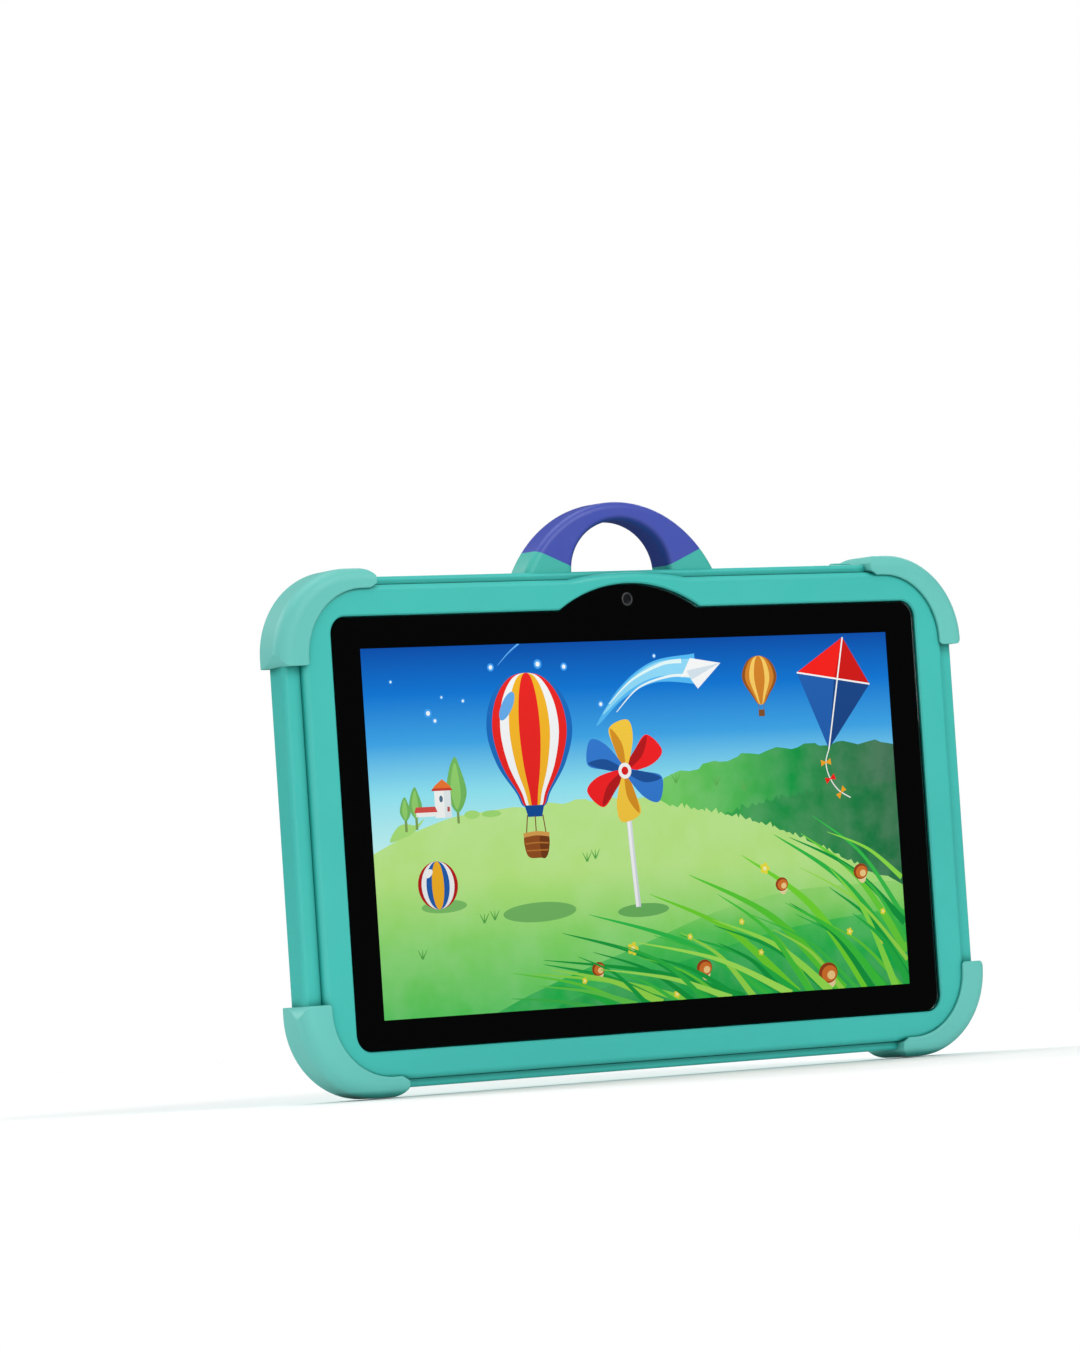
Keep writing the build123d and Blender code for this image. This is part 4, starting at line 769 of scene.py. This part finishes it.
small_envelope = smooth([
    (109.8, 75.8), (111.4, 79.8), (115.0, 81.2), (118.6, 79.8), (120.2, 75.8),
    (117.4, 71.4), (115.9, 69.6), (114.1, 69.6), (112.6, 71.4),
])
small_balloon = gores(small_envelope, 115.0, ["8A4D16", "C97A22", "F3C15C", "C97A22"])
small_balloon += [
    (box_outline(114.1, 66.6, 115.9, 68.2), "7A4A22"),
    (band([(114.2, 69.6), (114.3, 68.0)], 0.15), "7A4A22"),
    (band([(115.8, 69.6), (115.7, 68.0)], 0.15), "7A4A22"),
]
picture("screen_far_balloon", small_balloon, TOY_LAYER)

# A pinwheel on a stick.
WHEEL = (73.2, 55.0)
WHEEL_R = 12.2
VANES = 6
VANE_COLOURS = (("EE1C1F", "B01216"), ("F8C23C", "D08A1E"), ("2E74C8", "174C92"))
pinwheel = [
    (band([WHEEL, (73.7, 39.0), (74.6, 22.6)], 1.5), "D5DADF"),
    (band([(73.0, 55.0), (73.5, 39.0), (74.3, 22.7)], 0.8), "FBFBFA"),
]
for k in range(VANES):
    turn = k * pi / 3 + 0.25
    vane = [WHEEL]
    for reach, angle in ((0.62, -0.12), (1.0, 0.12), (0.9, 0.62), (0.5, 0.72)):
        vane.append(around(WHEEL, WHEEL_R * reach, turn + angle))
    fold = [WHEEL]
    for reach, angle in ((0.5, 0.3), (0.88, 0.6), (0.5, 0.72)):
        fold.append(around(WHEEL, WHEEL_R * reach, turn + angle))
    light, dark = VANE_COLOURS[k % len(VANE_COLOURS)]
    pinwheel += [(smooth(vane, 6), light), (smooth(fold, 6), dark)]
pinwheel += [(ellipse(*WHEEL, 1.9, count=24), "F7F0EA"), (ellipse(*WHEEL, 1.0, count=20), "D4181C")]
picture("screen_pinwheel", pinwheel, TOY_LAYER)

# A kite with bows on its tail.
KITE_TOP = (141.0, 85.0)
KITE_RIGHT = (148.4, 73.4)
KITE_LOW = (134.6, 58.0)
KITE_LEFT = (126.4, 76.8)
KITE_MID = (137.6, 74.9)
BOW_REACH = 1.5
BOW_HALF = 0.8
BOW_KNOT = 0.12
kite = [
    ([KITE_TOP, KITE_RIGHT, KITE_MID], "C6120F"),
    ([KITE_TOP, KITE_LEFT, KITE_MID], "F01A14"),
    ([KITE_RIGHT, KITE_LOW, KITE_MID], "123F7E"),
    ([KITE_LEFT, KITE_LOW, KITE_MID], "1C58A6"),
    (band([KITE_LEFT, KITE_RIGHT], 0.4), "F7F0EA"),
    (band([KITE_TOP, KITE_LOW], 0.4), "F7F0EA"),
    (band([KITE_LOW, (133.4, 54.8), (134.2, 51.2), (136.6, 48.0), (140.2, 46.0)], 0.3), "F7F0EA"),
]
KITE_BOWS = ((133.4, 54.8, 0.1, "F3A01E"), (134.4, 50.8, 0.35, "F01A14"), (137.4, 47.4, 0.8, "F3A01E"))
for x, z, lean, code in KITE_BOWS:
    for side in (-BOW_REACH, BOW_REACH):
        loop = [(side, BOW_HALF), (side, -BOW_HALF), (0.0, -BOW_KNOT), (0.0, BOW_KNOT)]
        kite.append((tilted(loop, x, z, lean), code))
picture("screen_kite", kite, TOY_LAYER)

# A striped ball in the grass.
BALL = (17.6, 30.4)
BALL_R = 5.6
beach_ball = gores(ellipse(*BALL, BALL_R), BALL[0], ["B51414", "F4F4F4", "1C5BAA", "F6AE22"])
beach_ball.append((ellipse(15.2, 33.2, 1.3, 0.8, 0.7, count=20), "FBFBFA"))
picture("screen_beach_ball", beach_ball, TOY_LAYER)


# ---------------------------------------------------------------- screen grass, flowers and mushrooms
BLADE_TIP = 0.1


def blade(x, z, reach, rise, width, colour):
    """A long curved blade of grass whose root is at x, z."""
    bend = (x + reach * 0.45, z + rise * 0.62)
    return (band([(x, z), bend, (x + reach, z + rise)], width, BLADE_TIP), colour)


back_blades = [
    blade(112, -0.5, -52, 22, 2.6, "2CC04A"), blade(120, -0.5, -42, 26, 2.8, "6FD62F"),
    blade(134, -0.5, -44, 30, 3.4, "58CE33"), blade(142, -0.5, -36, 34, 3.6, "74DA30"),
    blade(WIDE, 4, -38, 34, 3.0, "2DBB45"), blade(WIDE, 8, -30, 30, 2.6, "6AD53A"),
    blade(WIDE, 16, -26, 26, 1.6, "35C04A"), blade(WIDE, 26, -22, 12, 1.4, "8FE04A"),
    blade(104, -0.5, -58, 12, 2.2, "0E9E3C"), blade(96, -0.5, -44, 18, 2.4, "149F3E"),
    blade(88, -0.5, -46, 9, 2.0, "8BDD4A"), blade(80, -0.5, -34, 11, 2.0, "16A340"),
]
front_blades = [
    blade(130, -0.5, -34, 19, 2.4, "9BE552"), blade(118, -0.5, -46, 15, 2.0, "A9EA5C"),
    blade(100, -0.5, -38, 9, 1.8, "A4E65C"), blade(124, -0.5, -26, 25, 2.0, "45C93C"),
    blade(146, -0.5, -28, 22, 2.6, "3CC63C"), blade(150, -0.5, -18, 30, 2.2, "8AE04A"),
    blade(WIDE, 0, -16, 18, 2.4, "23B445"), blade(72, -0.5, -28, 6, 1.6, "62CC4C"),
    blade(60, -0.5, -24, 3.5, 1.4, "3DB84C"), blade(92, -0.5, -22, 14, 1.6, "2DB745"),
]
picture("screen_blades_back", back_blades, TOY_LAYER)
picture("screen_blades_front", front_blades, NEAR_GRASS_LAYER)

# A thick stand of grass between the two, its roots along the lower right edges of the picture.
BLADE_GREENS = ("22B544", "62CF3A", "10A340", "9ADF4E", "3CC246", "0B9A3C")
MID_BLADES = 24
mid_blades = []
for k in range(MID_BLADES):
    along = k / (MID_BLADES - 1)
    root_x = min(WIDE, 66 + 104 * along)
    root_z = -0.5 if root_x < WIDE else 104 * along - 89
    reach = -18 - 16 * sin(k * 1.7) ** 2
    rise = 6 + 15 * along + 5 * sin(k * 2.3) ** 2
    width = 1.0 + 1.1 * cos(k * 1.1) ** 2
    mid_blades.append(blade(root_x, root_z, reach, rise, width, BLADE_GREENS[k % len(BLADE_GREENS)]))
picture("screen_blades_mid", mid_blades[::-1], MID_GRASS_LAYER)


def mushroom(x, z, size):
    """A small round-capped mushroom."""
    return [
        (ellipse(x + size * 0.1, z - size * 0.5, size * 0.6, size * 0.8, 0.2, count=24), "F2D9A4"),
        (ellipse(x, z, size, size * 0.85, 0.25, count=28), "9A3F16"),
        (ellipse(x + size * 0.12, z - size * 0.06, size * 0.8, size * 0.66, 0.25, count=28), "D9742A"),
        (ellipse(x + size * 0.3, z - size * 0.2, size * 0.42, size * 0.36, 0.25, count=24), "F8D08A"),
    ]


PETALS = 5


def flower(x, z, size):
    """A five-petalled yellow flower."""
    petals = [(ellipse(*around((x, z), size, k * 0.4 * pi), size * 0.62, count=14), "F0E03A")
              for k in range(PETALS)]
    return petals + [(ellipse(x, z, size * 0.6, count=14), "FFF6A8")]


MUSHROOMS = ((61.6, 8.6, 1.9), (92.6, 7.2, 2.3), (129.6, 4.0, 2.9), (141.6, 28.0, 2.2), (117.4, 26.0, 1.9))
FLOWERS = (
    (72.0, 12.8, 1.0), (112.6, 30.0, 0.9), (109.8, 10.0, 0.5), (146.0, 10.6, 0.7), (137.0, 13.6, 0.6),
    (104.6, 17.6, 0.5), (89.0, 14.8, 0.5), (57.4, 6.0, 0.5), (147.6, 18.0, 0.5), (84.0, 1.4, 0.6),
)
small_things = [("mushroom", mushroom(*entry)) for entry in MUSHROOMS]
small_things += [("flower", flower(*entry)) for entry in FLOWERS]
for index, (kind, shapes) in enumerate(small_things):
    picture(f"screen_{kind}_{index + 1}", shapes, FLOWER_LAYER)


def tufts(roots):
    """Small three-bladed tufts of grass."""
    return [(band([(x, z), (x + lean, z + 2.2)], 0.45, BLADE_TIP), "5BAA4E")
            for x, z in roots for lean in (-1.2, 0.1, 1.4)]


picture("screen_tufts", tufts([(12.0, 13.5), (30.0, 21.0), (33.0, 21.6), (60.5, 34.0)]), FAR_LAYER)
picture("screen_tufts_far", tufts([(63.0, 34.6), (88.0, 51.5), (100.0, 50.5), (108.0, 49.0)]), FAR_LAYER)


# ---------------------------------------------------------------- back of the case: symbols and print
def on_back(level):
    """Coordinates in millimetres from the middle of the case, seen in front-view X."""
    def place(x, z, depth):
        return (CASE_MID.x + x * MM, level + depth, CASE_MID.z + z * MM)
    return place


SYMBOL_INK = moulded("symbol_ink", rgb("1C8A80"), rgb("0D5F58"), 0.5)
SYMBOL_PROUD = 0.06 * MM
SYMBOL_SUNK = 0.05 * MM
CARD_BAY_DEPTH = 4.0 * MM


def symbol(name, outlines, level=BACK_Y):
    """A small moulded symbol that stands just proud of the back."""
    mesh = bmesh.new()
    for outline in outlines:
        add_prism(mesh, outline, on_back(level), SYMBOL_PROUD, -SYMBOL_SUNK, 0)
    finish_piece(name, mesh, [SYMBOL_INK], "case")


STROKE = 0.32
symbol("symbol_plus", [box_outline(90.3, 34.84, 92.1, 35.16), box_outline(91.04, 34.1, 91.36, 34.84),
                       box_outline(91.04, 35.16, 91.36, 35.9)])
symbol("symbol_minus", [box_outline(90.3, 14.94, 92.1, 15.26)])
symbol("symbol_power", [ring(69.4, 54.0, 1.15, 1.15 - STROKE, pi * 0.68, pi * 2.32, 26),
                        box_outline(69.24, 54.3, 69.56, 55.6)])
symbol("symbol_headphones", [ring(87.7, 48.4, 1.1, 1.1 - STROKE, 0.0, pi, 20),
                             ellipse(86.8, 47.8, 0.3, 0.58, count=16),
                             ellipse(88.6, 47.8, 0.3, 0.58, count=16)])
symbol("symbol_charge", [
    [(46.2, 54.2), (47.3, 56.0), (47.0, 54.7), (47.9, 54.7), (46.7, 52.8), (47.05, 54.2)],
])
symbol("symbol_card", [
    ring(91.0, -13.5, 3.2, 2.9, 0.05, 2 * pi - 0.05, 36),
    [(89.6, -11.8), (91.6, -11.8), (92.4, -12.6), (92.4, -15.4), (89.6, -15.4)],
], BACK_Y - CARD_BAY_DEPTH)

PRINT_STEP = 0.012 * MM
PRINT_SUNK = 0.02 * MM


# deep is the colour of the painted shade in the print's grooves and corners.
def print_colour(name, code, deep):
    return moulded(name, rgb(code), rgb(deep), 0.38, 0.15, 3000.0)


PRINT_YELLOW = print_colour("print_yellow", "F4C93A", "B98A10")
PRINT_WHITE = print_colour("print_white", "E4F7F7", "9CC8CC")
PRINT_ORANGE = print_colour("print_orange", "EE9A3C", "A85E14")
PRINT_GREEN = print_colour("print_green", "8FCF6A", "4E8A34")
PRINT_SHADOW = print_colour("print_shadow", "A9DDE0", "6BA8AE")


def flap_print(name, shapes):
    """A printed motif on the kickstand's outer face; each shape lies over the one before."""
    mesh = bmesh.new()
    materials = []
    for level, (outline, material) in enumerate(shapes):
        if material not in materials:
            materials.append(material)
        top = (level + 1) * PRINT_STEP
        add_prism(mesh, outline, on_back(PANEL_Y), top, -PRINT_SUNK, materials.index(material))
    finish_piece(name, mesh, materials, "kickstand")


SUN = (15.6, 2.0)
SUN_RAYS = 10
flap_print("print_sun", [(ellipse(*SUN, 5.6), PRINT_ORANGE), (ellipse(*SUN, 5.0), PRINT_YELLOW)])
for index in range(SUN_RAYS):
    angle = index * pi / 5
    ray = band([around(SUN, 6.4, angle), around(SUN, 8.8, angle)], 1.3, 0.5)
    flap_print(f"print_ray_{index + 1}", [(ray, PRINT_YELLOW)])
CLOUD = (
    (-6.4, 0.0, 5.2, 4.2), (5.8, 0.4, 5.6, 4.6), (-1.6, 4.4, 5.6, 4.8),
    (3.4, 3.0, 5.0, 4.4), (0.0, -1.2, 9.6, 3.4),
)
flap_print("print_cloud", [(ellipse(x - 3.4, z - 1.0, rx, rz), PRINT_SHADOW) for x, z, rx, rz in CLOUD]
           + [(ellipse(x - 3.0, z - 0.2, rx, rz), PRINT_WHITE) for x, z, rx, rz in CLOUD])
flap_print("print_kite", [
    ([(-19.4, 0.2), (-16.2, 6.6), (-13.0, 0.6), (-16.0, -6.8)], PRINT_ORANGE),
    ([(-19.4, 0.2), (-16.2, 6.6), (-16.1, 0.4)], PRINT_YELLOW),
    ([(-13.0, 0.6), (-16.0, -6.8), (-16.1, 0.4)], PRINT_YELLOW),
])
KITE_TAIL = [(-16.0, -6.8), (-14.6, -10.2), (-15.6, -13.4), (-12.6, -16.2), (-8.2, -17.0)]
flap_print("print_kite_tail", [(band(KITE_TAIL, 0.55, 0.35), PRINT_WHITE)])
for index, (x, z, lean) in enumerate(((-14.7, -10.2, 0.0), (-15.4, -13.6, 0.3), (-12.0, -16.4, 0.9))):
    bow = []
    for side in (-BOW_REACH, BOW_REACH):
        tip_x, tip_z = x + side * cos(lean), z + side * sin(lean)
        bow.append(([(tip_x, tip_z + BOW_HALF), (tip_x, tip_z - BOW_HALF), (x, z)], PRINT_ORANGE))
    flap_print(f"print_bow_{index + 1}", bow)


def ridge(crest, low_z):
    """The ground between a smooth crest line and a level line below it."""
    line = band(crest, 0.02)
    upper = line[:len(line) // 2]
    return Strip(upper + [(x, low_z) for x, _ in reversed(upper)])


HILL_FOOT = -31.5
BACK_HILLS = [(-36, -31.2), (-23, -23), (-6, -24), (8, -20), (23, -20), (36, -31.2)]
FRONT_HILLS = [(-33.6, -31.2), (-22, -25), (-6, -26.4), (8, -22.6), (22, -22.4), (33.6, -31.2)]
flap_print("print_hills", [
    (ridge(BACK_HILLS, HILL_FOOT), PRINT_SHADOW), (ridge(FRONT_HILLS, HILL_FOOT), PRINT_GREEN),
])


# ---------------------------------------------------------------- lenses
LENS_GLASS = glossy_black("lens_glass", rgb("0B0D18"), 0.03)
LENS_CONE = glossy_black("lens_cone", rgb("0A0A0B"), 0.2)
RING_GREY = metal("ring_grey", rgb("8C8C92"), 0.4)
TURNED_SEGMENTS = 40


def turned(name, profile, centre, rise, materials):
    """A piece turned about an axis along Y: profile is (radius, height, material) from the middle out.

    rise scales the heights; a negative one faces the front.
    """
    mesh = bmesh.new()
    circles = []
    for radius, height, _ in profile:
        circle = []
        for k in range(TURNED_SEGMENTS):
            angle = 2 * pi * k / TURNED_SEGMENTS
            circle.append(mesh.verts.new((centre[0] + radius * cos(angle), centre[1] + rise * height,
                                          centre[2] + radius * sin(angle))))
        circles.append(circle)
    for inner, outer, (_, _, index) in zip(circles, circles[1:], profile):
        for k in range(TURNED_SEGMENTS):
            j = (k + 1) % TURNED_SEGMENTS
            face = mesh.faces.new((inner[k], inner[j], outer[j], outer[k]))
            face.material_index = index
    mesh.faces.new(circles[0]).material_index = profile[0][2]
    mesh.faces.new(circles[-1]).material_index = profile[-1][2]
    finish_piece(name, mesh, materials, "case")


def lens_stack(node, outer, level, rise):
    """A lens behind glass: a thin grey ring, a black cone and a small domed glass."""
    grey, glass, cone = 0, 1, 2
    profile = [
        (0.02 * outer, 0.22 * MM, glass), (0.22 * outer, 0.20 * MM, glass), (0.38 * outer, 0.12 * MM, glass),
        (0.42 * outer, 0.06 * MM, cone), (0.74 * outer, 0.10 * MM, cone), (0.76 * outer, 0.14 * MM, grey),
        (0.96 * outer, 0.14 * MM, grey), (outer, 0.10 * MM, grey), (outer, 0.0, grey),
    ]
    lens = middle(node)
    turned(f"{node}_lens", profile, (lens.x, level, lens.z), rise, [RING_GREY, LENS_GLASS, LENS_CONE])


# The lenses start a little way inside the window, and inside the black border in front.
REAR_LENS_R = 1.7 * MM
REAR_LENS_SUNK = 0.06 * MM
FRONT_LENS_R = 1.6 * MM
FRONT_LENS_SUNK = 0.005 * MM
FRONT_LENS_RISE = -0.4
FLASH_SUNK = 0.05 * MM
for node in ("rear_camera_upper", "rear_camera_lower"):
    lens_stack(node, REAR_LENS_R, WINDOW_Y - REAR_LENS_SUNK, 1)
flash = middle("flash_led")
FLASH_PROFILE = [
    (0.02 * MM, 0.18 * MM, 0), (0.6 * MM, 0.15 * MM, 0), (1.0 * MM, 0.08 * MM, 0), (1.15 * MM, 0.0, 0),
]
turned("flash_lens", FLASH_PROFILE, (flash.x, WINDOW_Y - FLASH_SUNK, flash.z), 1,
       [MATERIALS["flash_yellow"]])
lens_stack("front_camera", FRONT_LENS_R, INK_Y - FRONT_LENS_SUNK, FRONT_LENS_RISE)

# ---------------------------------------------------------------- studio
FLOOR_R = 3.2
FLOOR_SEGMENTS = 96
FLOOR_DROP = 0.0002
FADE_FROM = 0.25
FADE_TO = 1.25
floor_mesh = bmesh.new()
bmesh.ops.create_circle(floor_mesh, cap_ends=True, radius=FLOOR_R, segments=FLOOR_SEGMENTS)
floor_data = bpy.data.meshes.new("floor")
floor_mesh.to_mesh(floor_data)
floor_mesh.free()
floor = bpy.data.objects.new("floor", floor_data)
floor.location = (0.0, 0.0, -FLOOR_DROP)
bpy.context.scene.collection.objects.link(floor)
floor.visible_glossy = False

material, tree, shader = new_material("studio_floor")
shader.inputs["Base Color"].default_value = rgb("F6F7F7")
shader.inputs["Roughness"].default_value = 0.9
shader.inputs["Specular IOR Level"].default_value = 0.1
reach = tree.nodes.new("ShaderNodeVectorMath")
reach.operation = "LENGTH"
tree.links.new(object_coords(tree), reach.inputs[0])
fade = remap(tree, reach.outputs["Value"], FADE_FROM, FADE_TO, 1.0, 0.0)
tree.links.new(fade, shader.inputs["Alpha"])
floor_data.materials.append(material)

world = bpy.data.worlds.new("studio")
bpy.context.scene.world = world
world.use_nodes = True
background = world.node_tree.nodes["Background"]
path = world.node_tree.nodes.new("ShaderNodeLightPath")
# The background's strength where the camera sees it, in reflections, and as light on everything else.
SEEN = 1.0
MIRRORED = 0.06
FILL = 0.42
strength = remap(world.node_tree, path.outputs["Is Glossy Ray"], 0.0, 1.0, FILL, MIRRORED)
seen = remap(world.node_tree, path.outputs["Is Camera Ray"], 0.0, 1.0, 0.0, SEEN)
world.node_tree.links.new(strength, seen.node.inputs["To Min"])
world.node_tree.links.new(seen, background.inputs["Strength"])
background.inputs["Color"].default_value = (1.0, 1.0, 1.0, 1.0)

AIM = Vector((0.0, 0.0, CASE_MID.z))
# Soft rectangular lamps that point at the middle of the case: name, place, size and power.
LAMPS = (
    ("key", (0.5, -1.7, 1.5), (1.2, 0.9), 18.0),
    ("low_fill", (-0.5, -1.9, 0.45), (1.8, 0.6), 5.0),
    ("left_fill", (-1.9, -0.9, 0.7), (0.9, 1.2), 6.0),
    ("top", (-0.1, 0.3, 1.9), (1.6, 1.0), 14.0),
    ("back_left", (-1.1, 1.7, 1.2), (1.2, 0.9), 16.0),
    ("back_right", (1.5, 1.3, 0.8), (0.8, 1.1), 7.0),
)
for name, place, size, power in LAMPS:
    lamp = bpy.data.lights.new(name, "AREA")
    lamp.shape = "RECTANGLE"
    lamp.size, lamp.size_y = size
    lamp.energy = power
    light = bpy.data.objects.new(name, lamp)
    light.location = place
    light.rotation_euler = (AIM - Vector(place)).to_track_quat("-Z", "Y").to_euler()
    bpy.context.scene.collection.objects.link(light)

# ---------------------------------------------------------------- camera
# The offset is from the middle of the cover glass; the other two are the picture's right and up.
CAMERA_OFFSET = Vector((-0.9405, -1.2895, -0.0351))
CAMERA_RIGHT = Vector((0.815973, -0.574207, -0.066903))
CAMERA_UP = Vector((0.028947, -0.075002, 0.996763))
CAMERA_LENS = 179.5
CAMERA_SENSOR = 36.0
camera_data = bpy.data.cameras.new("camera")
camera_data.lens = CAMERA_LENS
camera_data.sensor_width = CAMERA_SENSOR
camera = bpy.data.objects.new("camera", camera_data)
camera_back = CAMERA_RIGHT.cross(CAMERA_UP)
axes = Matrix((CAMERA_RIGHT, CAMERA_UP, camera_back)).transposed().to_4x4()
glass_mid = Vector((DISPLAY_MID.x, GLASS_Y, DISPLAY_MID.z))
camera.matrix_world = Matrix.Translation(glass_mid + CAMERA_OFFSET) @ axes
bpy.context.scene.collection.objects.link(camera)
bpy.context.scene.camera = camera
bpy.context.scene.view_settings.view_transform = "Standard"
